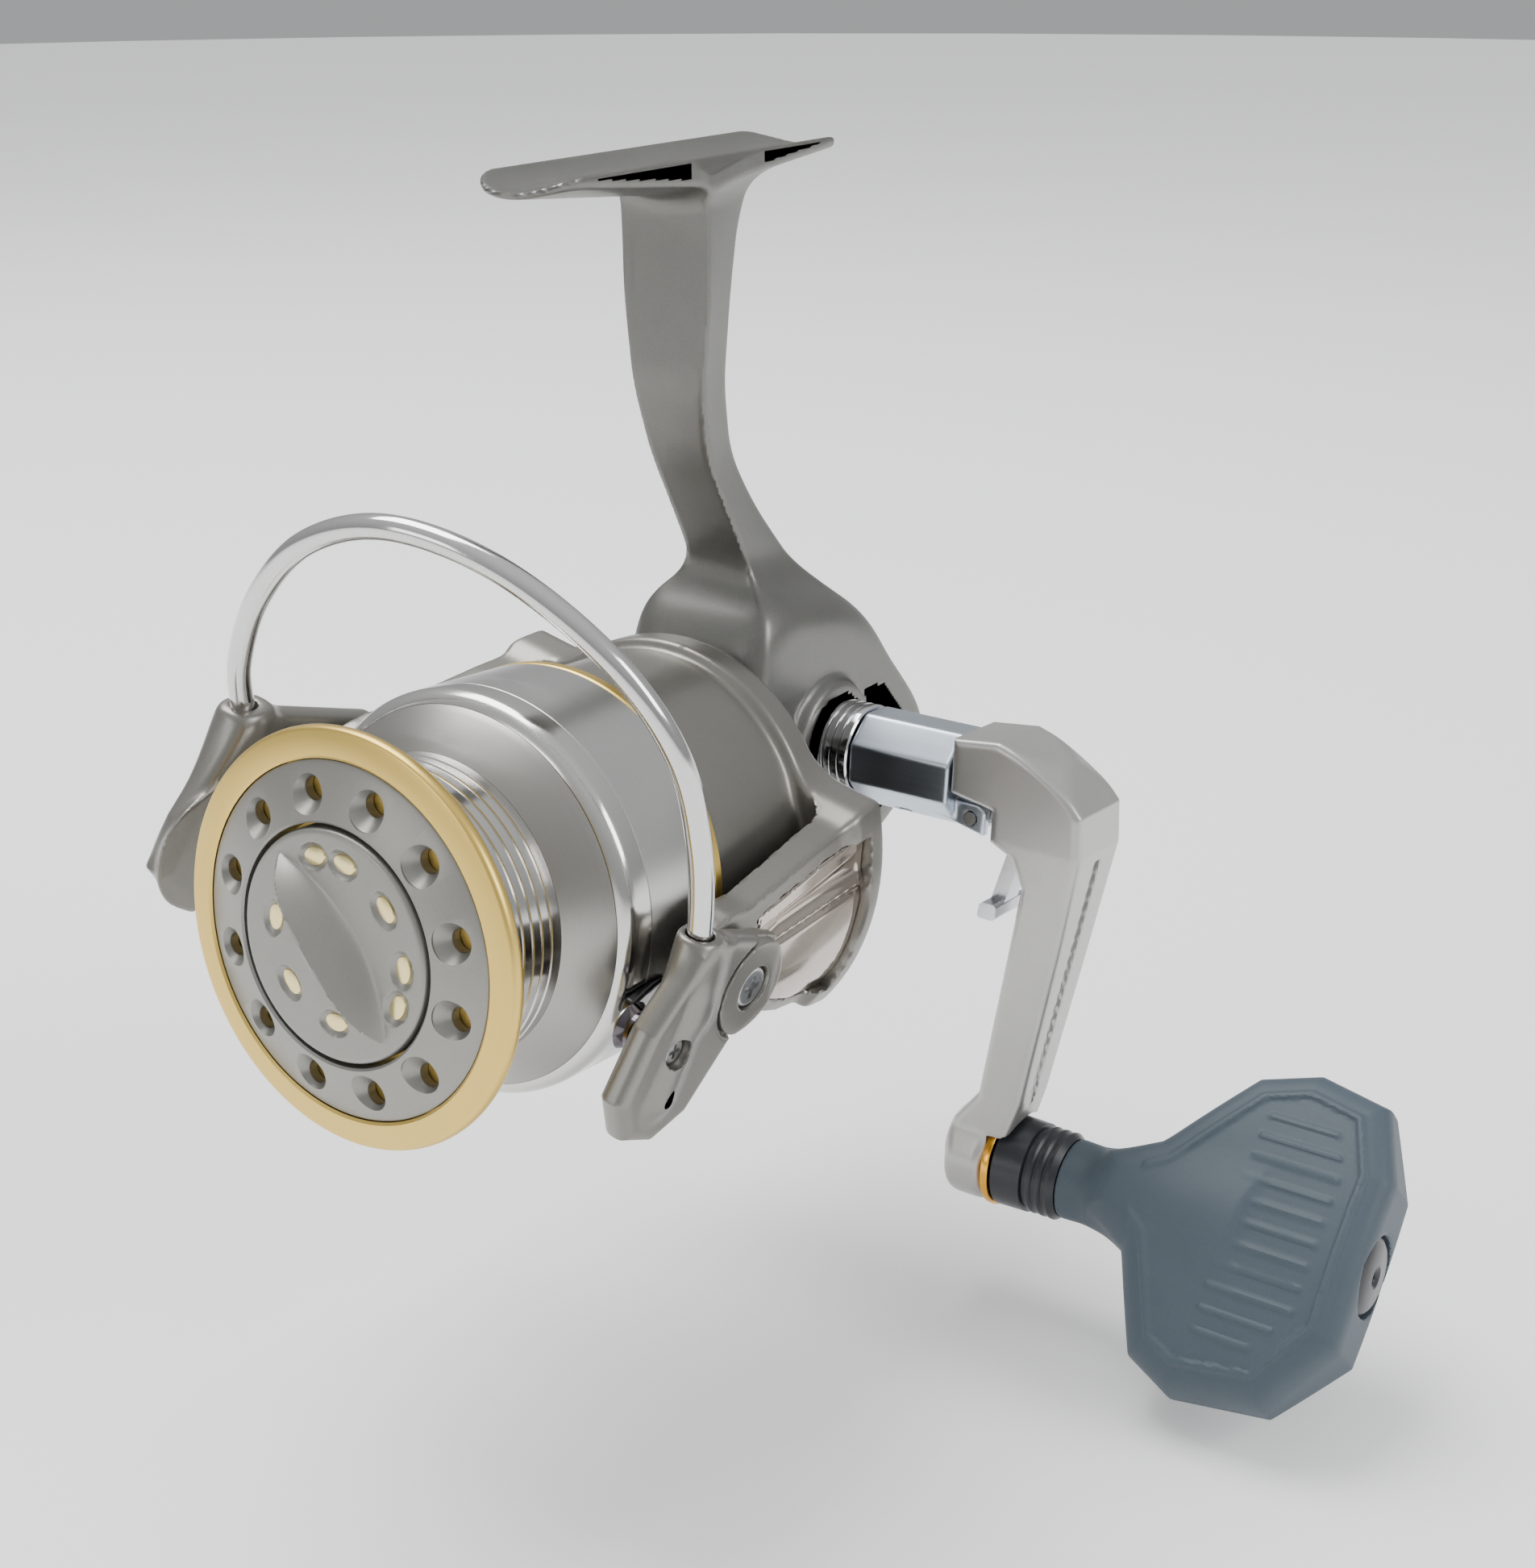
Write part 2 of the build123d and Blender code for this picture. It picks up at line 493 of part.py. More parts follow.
def bail_lever():
    """The lever on the handle side: it holds the wire and the line roller."""
    plate = slab_x(LEVER_LINE, LEVER_IN, LEVER_OUT, 2.6)
    plate = fillet(plate.faces().sort_by(Axis.X)[-1].edges(), 1.8)
    boss = rod_x(6.8, LEVER_IN, LEVER_OUT, PIVOT_Y, PIVOT_Z)
    boss = fillet(boss.faces().sort_by(Axis.X)[-1].edges(), 1.2)
    socket = rod_z_at(2.6, LEVER_WIRE_X, LEVER_WIRE_Y, 3.0, 12.0)
    shape = plate + boss + (socket & box(LEVER_IN - 2.4, 40, -80, -50, -20, 20))
    shape -= rod_x(1.5, 0, 60, PIVOT_Y, PIVOT_Z) + rod_x(3.2, LEVER_OUT - 1.6, 60, PIVOT_Y, PIVOT_Z)
    shape -= rod_x(1.0, 0, 60, ROLLER_Y, ROLLER_Z) + rod_x(2.0, LEVER_OUT - 1.4, 60, ROLLER_Y, ROLLER_Z)
    return ROLLED * (shape - rod_z_at(WIRE_R + 0.15, LEVER_WIRE_X, LEVER_WIRE_Y, 5.0, 16.0))


def rod_z_at(radius, x, y, z0, z1):
    """A round bar along Z at a given place."""
    return Pos(x, y, 0) * rod_z(radius, z0, z1)


def bail_holder():
    """The pointed holder on the far side, where the wire's other end is fixed."""
    line = [(PIVOT_Y + 5.5, PIVOT_Z + 4.5), (-70.5, 11.8), (-75.6, 11.0), (-84.0, -2.0), (-86.5, -9.0),
            (-80.0, -16.0), (-68.0, -14.0), (PIVOT_Y + 3.0, PIVOT_Z - 6.0)]
    plate = slab_x(line, LEVER_IN, LEVER_OUT + 0.4, 2.4)
    plate = fillet(plate.faces().sort_by(Axis.X)[-1].edges(), 1.8)
    swell = Pos(LEVER_IN + 4.2, -78.6, -7.4) * Rot(0, 90, 0) * Cone(6.6, 2.0, 6.0)
    socket = rod_z_at(2.7, -HOLDER_WIRE_X, HOLDER_WIRE_Y, 2.0, 12.2)
    shape = plate + swell + socket - rod_x(1.5, 0, 60, PIVOT_Y, PIVOT_Z)
    shape -= rod_x(3.2, LEVER_OUT - 1.2, 60, PIVOT_Y, PIVOT_Z)
    return ROLLED * (mirrored(shape) - rod_z_at(WIRE_R + 0.15, HOLDER_WIRE_X, HOLDER_WIRE_Y, 5.0, 14.0))


def bail_pivot_screws():
    """The two shouldered screws that the bail turns on."""
    right = Pos(LEVER_OUT - 1.5, PIVOT_Y, PIVOT_Z) * Rot(0, 90, 0) * screw(1.42, 2.9, 1.3, 6.6)
    left = mirrored(Pos(LEVER_OUT - 1.1, PIVOT_Y, PIVOT_Z) * Rot(0, 90, 0) * screw(1.42, 2.9, 1.3, 7.0))
    return [ROLLED * right, ROLLED * left]


def bail_wire():
    """The polished wire that lays the line on the roller: one arch in front of the spool."""
    points = [(LEVER_WIRE_X, LEVER_WIRE_Y, 5.2), (LEVER_WIRE_X, LEVER_WIRE_Y - 0.1, 12.0), (33.4, -68.6, 24.0),
              (29.4, -72.2, 35.6), (20.4, -76.8, 44.8), (6.0, -81.2, 50.6), (-8.6, -84.0, 50.4),
              (-21.0, -83.6, 43.6), (-29.6, -81.2, 32.6), (-34.8, -77.4, 20.6),
              (HOLDER_WIRE_X, HOLDER_WIRE_Y - 0.15, 11.6), (HOLDER_WIRE_X, HOLDER_WIRE_Y, 5.2)]
    path = Spline(*points, tangents=((0, 0, 1), (0, 0, -1)))
    start = Plane(origin=path @ 0, z_dir=path % 0)
    return ROLLED * sweep(start * Circle(WIRE_R), path=path)


def line_roller():
    """The grooved roller that the line runs over."""
    profile = turned_x((30.5, 1.45), (30.5, 3.2), (31.4, 2.7), (32.4, 2.6), (33.5, 3.2), (33.5, 1.45))
    return ROLLED * Pos(0, ROLLER_Y, ROLLER_Z) * profile


def roller_bush():
    """The bush inside the line roller."""
    return ROLLED * ring_x(1.4, 1.02, 30.7, 33.9, ROLLER_Y, ROLLER_Z)


def roller_screw():
    """The screw that the line roller turns on."""
    part = Pos(LEVER_OUT - 1.3, ROLLER_Y, ROLLER_Z) * Rot(0, 90, 0) * screw(0.98, 1.9, 1.1, 6.5)
    collar = rod_x(2.2, 29.9, 30.3, ROLLER_Y, ROLLER_Z)
    return ROLLED * (part + collar)


def rotor_nut():
    """The six-sided nut that holds the rotor on the pinion."""
    hexagon = AXIS_Y * extrude(RegularPolygon(6.4, 6), amount=3.4)
    return Pos(0, -49.0, 0) * hexagon - rod_y(PINION_TUBE_R + 0.02, -60, -40)


def nut_retainer():
    """The plate that keeps the rotor nut from turning loose."""
    plate = ring_y(10.6, 7.6, -46.4, -45.6) + ring_y(7.7, 6.6, -46.4, -45.6)
    return ROLLED * (plate + box(9.0, 13.0, -46.4, -45.6, -2.0, 2.0))


# ---- spool and drag -----------------------------------------------------------------------------------
def spool():
    """The spool body: arbor, conical shoulder and the skirt that covers the rotor."""
    inside, bore = SKIRT_R - SKIRT_WALL, SHAFT_R + FIT
    body = turned_y((ARBOR_R, -85.8), (ARBOR_R, -72.2), (24.6, -68.6), (26.4, -67.0), (SKIRT_R, -66.2),
                    (SKIRT_R, -49.4), (inside, -49.4), (inside, -65.2), (24.0, -67.0), (ARBOR_R - 1.6, -71.0),
                    (ARBOR_R - 1.6, WEB_Y + 2.2), (5.0, WEB_Y + 2.2), (5.0, SEAT_Y - GAP),
                    (bore, SEAT_Y - GAP), (bore, WEB_Y), (13.6, WEB_Y), (13.6, -85.8))
    grooves = [turned_y((ARBOR_R + 0.3, -84.6 + 1.7 * i), (ARBOR_R - 0.35, -84.1 + 1.7 * i),
                        (ARBOR_R + 0.3, -83.6 + 1.7 * i)) for i in range(7)]
    lighten = around_y(8, 11.2, -77.0, Rot(90, 0, 0) * Cylinder(1.6, 6))
    return body - grooves - lighten


def spool_lip_ring():
    """The gold lip: a smooth ring that the line leaves over, with a disc behind the face plate."""
    return turned_y((LIP_R - 1.6, LIP_Y - 1.1), (LIP_R - 0.6, LIP_Y - 0.8), (LIP_R, LIP_Y),
                    (LIP_R - 0.4, LIP_Y + 0.9), (ARBOR_R + 0.6, -85.9), (13.7, -85.9), (13.7, -87.2),
                    (FACE_R + 0.1, -87.2), (FACE_R + 0.1, -88.9))


def spool_face_plate():
    """The shallow cone in the spool's face, with twelve countersunk holes."""
    plate = turned_y((FACE_R, -88.8), (KNOB_R + 0.5, -90.9), (KNOB_R + 0.5, -87.3), (FACE_R, -87.3))
    sink = Rot(90, 0, 0) * (Cone(1.5, 3.0, 2.0) + Pos(0, 0, -3) * Cylinder(1.5, 5))
    return plate - around_y(HOLE_COUNT, HOLE_PCD / 2, -88.9, sink, 15)


def spool_skirt_ring():
    """The gold trim ring at the skirt's rear edge."""
    return turned_y((SKIRT_R + 0.05, -49.3), (SKIRT_R + 0.05, -47.6), (SKIRT_R - 0.4, SKIRT_REAR),
                    (SKIRT_R - 1.1, SKIRT_REAR), (SKIRT_R - SKIRT_WALL, -47.6), (SKIRT_R - SKIRT_WALL, -49.3))


def line_clip():
    """The clip on the skirt that holds the end of the line."""
    base = ring_y(SKIRT_R + 1.3, SKIRT_R + 0.02, -66.0, -58.6) & box(0, 40, -70, -50, -2.2, 2.2)
    lip = ring_y(SKIRT_R + 1.7, SKIRT_R + 0.5, -67.4, -64.2) & box(0, 40, -70, -50, -1.7, 1.7)
    return Rot(0, 18, 0) * (base + lip)


def drag_washers():
    """The stack of drag washers in the spool's front, keyed and eared in turn."""
    discs = []
    for i in range(WASHERS):
        rear = WEB_Y - GAP - WASHER_PITCH * i
        discs.append(ring_y(13.2 - 0.5 * (i % 2), SHAFT_R + 0.35, rear - 0.7, rear))
    return discs


def washer_retainer():
    """The spring wire ring that keeps the drag washers in."""
    ring = ring_y(13.55, 12.6, -84.0, -83.3)
    return ring - box(-1.2, 1.2, -90, -80, 0, 20)


def click_ratchet():
    """The toothed ring on the shaft's seat that the drag click runs over."""
    wheel = Rot(90, 0, 0) * spur(RATCHET_TEETH, 9.0, 8.0, 1.3, 6.02)
    return Pos(0, SEAT_Y + 0.9, 0) * wheel


def click_pawl():
    """The spring pawl on the spool's web that clicks over the ratchet."""
    post = rod_y(1.2, -75.95, -65.8, 15.0) + rod_y(1.9, -75.95, -75.0, 15.0)
    return post + box(9.4, 15.0, -66.8, -65.8, -0.6, 0.6)


def spool_support():
    """The seat on the main shaft that the spool's hub rests against."""
    seat = rod_y(6.0, SEAT_Y, SEAT_Y + 1.9) + rod_y(3.6, SEAT_Y + 1.8, SEAT_Y + 2.4)
    return seat - rod_y(SHAFT_R + 0.01, -70, -60)


def drag_nut():
    """The brass nut in the drag knob."""
    nut = Pos(0, -88.0, 0) * (AXIS_Y * extrude(RegularPolygon(4.6, 6), amount=2.6))
    return nut - rod_y(SHAFT_R + FIT, -95, -80)


def drag_spring():
    """The coil spring that presses the drag washers."""
    helix = Helix(pitch=0.75, height=1.5, radius=5.6)
    coil = sweep(Plane(origin=helix @ 0, z_dir=helix % 0) * Circle(0.3), path=helix)
    return Pos(0, -83.6, 0) * Rot(90, 0, 0) * coil


def knob_fin():
    """The leaf-shaped ridge that the fingers turn the drag knob by."""
    reach, half = 13.6, 4.6
    sides = [ThreePointArc((0, -end), (end / reach * half, 0), (0, end)) for end in (reach, -reach)]
    leaf = make_face(sides[0] + sides[1])
    fin = extrude(leaf, amount=4.4, taper=40)
    return Pos(0, KNOB_FACE + 0.2, 0) * Rot(90, 0, 0) * fin


def at_inlays(shape):
    """Copies of a shape where the gold inlays sit: three on one side of the ridge, five on the other."""
    places = INLAY_NEAR + INLAY_FAR
    return [Rot(0, KNOB_FIN_TURN - turn - 90, 0) * Pos(reach, 0, 0) * shape for turn, reach in places]


def drag_knob():
    """The drag knob: a low disc with a finger ridge, hollow behind for its nut and spring."""
    body = turned_y((0, KNOB_FACE - 0.2), (11.0, KNOB_FACE), (13.6, KNOB_FACE + 0.2), (14.7, KNOB_FACE + 0.9),
                    (KNOB_R, KNOB_FACE + 1.8), (KNOB_R, -87.4), (12.9, -87.4), (12.9, -84.4),
                    (11.6, -84.4), (11.6, -88.2), (0, -88.2))
    body = body + Rot(0, KNOB_FIN_TURN, 0) * knob_fin() + rod_y(6.4, -88.4, -85.6)
    pocket = Pos(0, -89.6, 0) * (AXIS_Y * extrude(RegularPolygon(4.68, 6), amount=5))
    seats = at_inlays(Pos(0, KNOB_FACE, 0) * Rot(90, 0, 0) * Cylinder(1.35, 1.2))
    return body - pocket - seats - rod_y(SHAFT_R + 0.2, -91.2, -80)


def knob_inlays():
    """The eight gold inlays in the knob's face."""
    dot = Rot(90, 0, 0) * Cylinder(1.3, 0.5)
    dot = fillet(dot.edges().filter_by(GeomType.CIRCLE), 0.12)
    return at_inlays(Pos(0, KNOB_FACE + 0.3, 0) * dot)


# ---- handle -------------------------------------------------------------------------------------------
def handle_collar():
    """The grooved chrome collar where the handle screws into the drive shaft."""
    collar = turned_x((14.4, 3.4), (14.4, 6.2), (15.0, 7.1), (19.9, 7.1), (19.9, 3.4), (17.4, 3.4),
                      (17.4, 0), (16.9, 0), (16.9, 3.4))
    grooves = [ring_x(8, 6.6, 15.7 + 1.3 * i, 16.1 + 1.3 * i) for i in range(3)]
    square = rod_x(1.8, -4.0, 17.2)
    return CRANK * (collar - grooves + square)


def octagon_bar(radius, x0, x1):
    """An eight-sided bar along X with a flat on top."""
    face = Rot(0, 0, 22.5) * RegularPolygon(radius, 8)
    return Pos(x0, 0, 0) * (AXIS_X * extrude(face, amount=x1 - x0))


def handle_sleeve():
    """The eight-sided sleeve, forked at its outer end for the folding joint."""
    bar = octagon_bar(SLEEVE_R, SLEEVE_X0, SLEEVE_X1) + rod_x(3.3, 17.5, SLEEVE_X0)
    bar -= rod_x(3.6, 21.5, 31.0)
    ears = [slab_y([(SLEEVE_X1 - 2, -4.6), (SLEEVE_X1, -5.4), (41.4, -7.2), (41.6, -3.6), (40.4, -2.8),
                    (SLEEVE_X1 - 2, -3.0)], y0, y0 + 1.6) for y0 in (-3.9, 2.3)]
    bar = bar + ears[0] + ears[1]
    hole = Pos(FOLD_X, 0, FOLD_Z - CRANK_Z) * Rot(90, 0, 0) * Cylinder(1.05, 20)
    mark = box(26.6, 29.2, -4.2, -2.6, -6.9, -6.2)
    return CRANK * (bar - hole - mark)


def fold_pin():
    """The pin of the folding joint."""
    return Pos(FOLD_X, 0, FOLD_Z) * Rot(90, 0, 0) * Cylinder(1.0, 8.4)


def arm_side_line():
    """The handle arm seen along Y: elbow at the top, then down and inward to the hub."""
    return [(SLEEVE_X1 + 0.2, 15.4), (44.0, 16.2), (52.5, 13.4), (57.4, 8.0), (57.8, 2.0), (55.4, -12.0),
            (50.6, -38.0), (48.4, -44.6), (HUB_X1, -48.0), (HUB_X0, -48.0), (HUB_X0 + 0.6, -43.2),
            (43.4, -38.0), (48.8, -4.2), (47.2, -0.2), (43.6, 1.6), (43.6, 6.2), (SLEEVE_X1 + 0.2, 7.4)]


def handle_arm():
    """The cranked arm from the folding joint to the knob."""
    slab = slab_y(arm_side_line(), -7.0, 7.5, 0.9)
    front = [(-6.6, 17.0), (6.6, 17.0), (6.9, 2.0), (6.4, -10.0), (5.9, -38.0), (HUB_Y + 5.4, -48.0),
             (HUB_Y + 5.4, -58), (HUB_Y - 5.4, -58), (HUB_Y - 5.4, -48.0), (-3.4, -38.0), (-5.4, -10.0),
             (-6.6, 2.0)]
    shape = slab & slab_x(front, 30, 70, 1.2)
    hub = rod_x(HUB_R, HUB_X0, HUB_X1, HUB_Y, HUB_Z)
    hub = fillet(hub.faces().sort_by(Axis.X)[0].edges(), 1.6)
    tongue = Pos(FOLD_X, 0, FOLD_Z) * Rot(90, 0, 0) * Cylinder(2.2, 4.2)
    tongue += box(FOLD_X - 0.8, 45.0, -2.1, 2.1, FOLD_Z - 0.6, 8.4)
    shape = shape - rod_x(7.6, HUB_X1, 60, HUB_Y, HUB_Z) + hub + tongue
    shape -= Pos(FOLD_X, 0, FOLD_Z) * Rot(90, 0, 0) * Cylinder(1.0 + FIT, 20)
    shape -= rod_x(2.02, HUB_X0 + 1.0, 60, HUB_Y, HUB_Z)
    shape -= Pos(LATCH_X, 0, LATCH_Z) * Rot(90, 0, 0) * Cylinder(0.8 + FIT, 8.2)
    shape -= box(43.5, 48.4, -2.3, 2.3, -2.0, LATCH_Z + 2.2)
    return shape - arm_inlay(0.05)


def arm_inlay(grow=0.0):
    """The narrow strip let into the outer face of the arm."""
    line = [(58.0, 1.0), (54.2, -24.0), (51.0, -41.0), (50.2, -41.0), (53.3, -24.0), (56.9, 1.0)]
    return slab_y(line, -1.0 - grow, 1.4 + grow)


def fold_lever():
    """The small lever that locks the folding joint, with its trunnion in the arm."""
    outline = [(LATCH_X - 1.2, LATCH_Z + 1.3), (LATCH_X + 1.2, LATCH_Z + 1.3), (LATCH_X + 1.0, -1.0),
               (44.6, -8.6), (42.4, -8.6), (LATCH_X - 1.2, -0.6)]
    tab = slab_y([(41.6, -10.6), (44.6, -10.6), (44.6, -8.2), (42.0, -8.2)], -4.4, 4.0, 0.6)
    trunnion = Pos(LATCH_X, 0, LATCH_Z) * Rot(90, 0, 0) * Cylinder(0.8, 8.0)
    return slab_y(outline, -2.0, 2.0, 0.5) + tab + trunnion


def knob_axle():
    """The axle of the handle knob, riveted in the arm."""
    return Pos(0, HUB_Y, HUB_Z) * (rod_x(2.0, HUB_X0 + 1.2, 98.0))


def knob_ring():
    """The orange-gold ring at the root of the knob."""
    return KNOB * ring_x(7.2, 2.6, HUB_X1 + GAP, HUB_X1 + 1.5)


def knob_collar():
    """The ribbed black collar of the knob."""
    outline = [(HUB_X1 + 1.7, 2.6), (HUB_X1 + 1.7, 6.9), (GRIP_X0 - 5.4, 6.6)]
    for i in range(3):
        x = GRIP_X0 - 5.2 + 1.5 * i
        outline += [(x, 6.0), (x + 0.5, 6.0), (x + 0.7, 6.5), (x + 1.2, 6.5)]
    outline += [(GRIP_X0 - 0.1, 5.9), (GRIP_X0 - 0.1, 2.6)]
    return KNOB * turned_x(*outline)


def knob_grip():
    """The rubber T-shaped grip."""
    neck = turned_x((GRIP_X0, 2.6), (GRIP_X0, 6.0), (66.0, 5.6), (72.0, 7.2), (80.0, 8.2), (80.0, 2.6))
    outline = [(64.0, -4.0), (70.0, -8.0), (75.5, -21.5), (82.0, -24.6), (95.5, -22.5), (103.0, -12.0),
               (103.0, 12.0), (98.5, 22.5), (88.0, 24.6), (80.0, 21.5), (70.5, 8.0), (64.0, 4.0)]
    bar = slab_y(outline, -8.4, 8.4, 2.6)
    bar = fillet(bar.faces().filter_by(Axis.Y).edges(), 2.4)
    shape = neck + bar - rod_x(2.6, 50, 96) - rod_x(5.9, 98.4, 110) - rod_x(3.6, 94.6, 99)
    return KNOB * Rot(-GRIP_TURN, 0, 0) * shape


def knob_end_cap():
    """The cap over the axle's end."""
    cap = turned_x((101.4, 0.9), (103.2, 0.9), (103.5, 1.6), (103.2, 4.9), (102.6, 5.7), (101.0, 5.7),
                   (101.0, 4.2), (101.4, 4.2))
    return KNOB * cap


def knob_bushes():
    """The two bushes that the knob turns on."""
    return [KNOB * ring_x(2.55, 2.0 + FIT, x0, x0 + 5.0) for x0 in (HUB_X1 + 3.0, 88.0)]


def axle_screw():
    """The screw and washer that keep the knob on its axle."""
    head = rod_x(3.3, 98.7, 100.4) - rod_x(1.3, 99.4, 101)
    return KNOB * (head + rod_x(2.9, 98.1, 98.8))


NODES = {
    "frame_housing": frame_housing, "side_cover": side_cover, "rear_cap": rear_cap,
    "left_shaft_cap": left_shaft_cap, "case_screws": case_screws,
    "anti_reverse_lever": anti_reverse_lever, "guide_rods": guide_rods, "pinion_bearing": pinion_bearing,
    "drive_bearings": drive_bearings, "roller_clutch": roller_clutch, "clutch_plate": clutch_plate,
    "drive_shaft": drive_shaft, "drive_gear": drive_gear,
    "oscillation_pinion": oscillation_pinion, "oscillation_gear": oscillation_gear,
    "oscillation_slider": oscillation_slider,
    "main_shaft": main_shaft, "spool_support": spool_support, "click_pawl": click_pawl,
    "pinion": pinion, "rotor": rotor, "rotor_nut": rotor_nut, "nut_retainer": nut_retainer,
    "right_arm_cover": right_arm_cover, "left_arm_cover": left_arm_cover, "arm_screws": arm_screws,
    "bail_spring": bail_spring, "spring_guide": spring_guide, "kick_lever": kick_lever,
    "bail_lever": bail_lever, "bail_holder": bail_holder, "bail_wire": bail_wire,
    "bail_pivot_screws": bail_pivot_screws, "line_roller": line_roller, "roller_bush": roller_bush,
    "roller_screw": roller_screw, "spool": spool, "spool_lip_ring": spool_lip_ring,
    "spool_face_plate": spool_face_plate, "spool_skirt_ring": spool_skirt_ring, "line_clip": line_clip,
    "drag_washers": drag_washers, "washer_retainer": washer_retainer, "click_ratchet": click_ratchet,
    "drag_knob": drag_knob, "knob_inlays": knob_inlays, "drag_nut": drag_nut, "drag_spring": drag_spring,
    "handle_collar": handle_collar, "handle_sleeve": handle_sleeve, "fold_pin": fold_pin,
    "fold_lever": fold_lever, "handle_arm": handle_arm, "knob_axle": knob_axle, "knob_ring": knob_ring,
    "knob_collar": knob_collar, "knob_grip": knob_grip, "knob_end_cap": knob_end_cap,
    "knob_bushes": knob_bushes, "axle_screw": axle_screw,
}


def main():
    """Writes one file for each piece."""
    os.makedirs("parts", exist_ok=True)
    for name, build in NODES.items():
        shape = build()
        solids = shape if isinstance(shape, list) else [shape]
        placed = [PLACE * solid for solid in solids]
        export_step(placed[0] if len(placed) == 1 else Compound(children=placed), f"parts/{name}.step")


main()
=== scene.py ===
"""Looks of a spinning reel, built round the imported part: every piece lies in the part's own frame.

Shapes are drawn in millimetres in the reel's own axes: Y along the spool with its face towards -Y, the
handle at +X and the foot at +Z.  ReelAxes carries them into the row's frame, in metres.
"""
from __future__ import annotations

import json
import logging
import math
from dataclasses import dataclass, field
from enum import Enum
from typing import Callable, Sequence

import bmesh
import bpy
import numpy as np
from mathutils import Matrix, Vector


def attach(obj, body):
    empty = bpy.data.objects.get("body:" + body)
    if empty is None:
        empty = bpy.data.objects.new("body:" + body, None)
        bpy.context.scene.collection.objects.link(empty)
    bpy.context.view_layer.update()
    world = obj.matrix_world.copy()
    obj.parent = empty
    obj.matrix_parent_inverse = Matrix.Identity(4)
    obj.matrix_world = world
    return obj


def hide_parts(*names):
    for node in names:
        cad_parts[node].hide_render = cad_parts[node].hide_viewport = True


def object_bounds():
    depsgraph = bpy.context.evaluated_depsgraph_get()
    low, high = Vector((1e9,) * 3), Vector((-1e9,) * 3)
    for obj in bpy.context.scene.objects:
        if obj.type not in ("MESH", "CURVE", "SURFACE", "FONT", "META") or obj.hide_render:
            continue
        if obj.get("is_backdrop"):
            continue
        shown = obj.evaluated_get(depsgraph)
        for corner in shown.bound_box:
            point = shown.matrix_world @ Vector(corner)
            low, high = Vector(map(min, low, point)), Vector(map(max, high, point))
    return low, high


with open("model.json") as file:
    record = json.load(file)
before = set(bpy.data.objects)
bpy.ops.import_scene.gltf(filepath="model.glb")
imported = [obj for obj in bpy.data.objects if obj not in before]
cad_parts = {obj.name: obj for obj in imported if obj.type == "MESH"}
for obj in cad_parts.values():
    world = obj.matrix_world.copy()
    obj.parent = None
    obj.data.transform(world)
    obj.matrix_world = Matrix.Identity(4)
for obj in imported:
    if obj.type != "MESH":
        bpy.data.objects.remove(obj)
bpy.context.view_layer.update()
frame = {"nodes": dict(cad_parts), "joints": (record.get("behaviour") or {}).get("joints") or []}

LOG = logging.getLogger("reel")
MM = 0.001
SMOOTH_ANGLE = math.radians(32.0)
Array = np.ndarray
Field = Callable[[Array, Array, Array], Array]
Outline = Sequence[tuple[float, float]]


# ---- axes ---------------------------------------------------------------------------------------------
@dataclass(frozen=True)
class ReelAxes:
    """The reel's own axes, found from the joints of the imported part."""

    matrix: Matrix
    pitch: float
    roll: float
    crank_z: float

    @classmethod
    def from_joints(cls, joints: list[dict]) -> "ReelAxes":
        """Finds the axes.

        Args:
            joints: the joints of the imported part.

        Returns:
            The axes, with their origin on the spool axis below the crank's axis.
        """
        named = {joint["name"]: joint for joint in joints}
        along = Vector(named["rotor_spin"]["axis"]).normalized()
        across = Vector(named["crank_spin"]["axis"]).normalized()
        up = across.cross(along)
        on_spool = Vector(named["rotor_spin"]["pos_m"])
        crank = Vector(named["crank_spin"]["pos_m"])
        origin = on_spool + along * (crank - on_spool).dot(along)
        turn = Matrix((across, along, up)).transposed().to_4x4()
        bail = Vector(named["bail_flip"]["axis"])
        return cls(matrix=Matrix.Translation(origin) @ turn @ Matrix.Scale(MM, 4),
                   pitch=math.atan2(-along.z, along.y), roll=-math.asin(bail.dot(up)),
                   crank_z=(crank - origin).dot(up) / MM)

    def rolled(self) -> Matrix:
        """The rotor's axes as it stands, turned about the spool axis."""
        return self.matrix @ Matrix.Rotation(self.roll, 4, "Y")

    def raised(self, x: float, y: float, z: float, turn: float = 0.0) -> Matrix:
        """The reel's axes moved to a place and turned about X, in radians."""
        return self.matrix @ Matrix.Translation((x, y, z)) @ Matrix.Rotation(turn, 4, "X")


AXES = ReelAxes.from_joints(frame["joints"])
REEL = AXES.matrix
ROTOR = AXES.rolled()
ROW = Matrix.Scale(MM, 4)


# ---- solid fields: negative inside, distances in millimetres -------------------------------------------
def join(a: Array, b: Array, blend: float = 0.0) -> Array:
    """Both solids together, with a fillet of about the blend's size where they meet.

    Args:
        a: the first solid's signed distance, mm.
        b: the second solid's signed distance, mm.
        blend: the fillet's size, mm.

    Returns:
        The signed distance of both together, mm.
    """
    if not blend:
        return np.minimum(a, b)
    h = np.maximum(blend - np.abs(a - b), 0.0) / blend
    return np.minimum(a, b) - h * h * blend * 0.25


def common(a: Array, b: Array, blend: float = 0.0) -> Array:
    """What two solids share, with the edge between them rounded."""
    return -join(-a, -b, blend)


def without(a: Array, b: Array, blend: float = 0.0) -> Array:
    """The first solid with the second cut away."""
    return -join(-a, b, blend)


def span(v: Array, low: float, high: float) -> Array:
    """The slab between two planes."""
    return np.maximum(low - v, v - high)


def disc(u: Array, v: Array, radius: float, at: tuple[float, float] = (0.0, 0.0)) -> Array:
    """A round bar, seen along its axis."""
    return np.hypot(u - at[0], v - at[1]) - radius


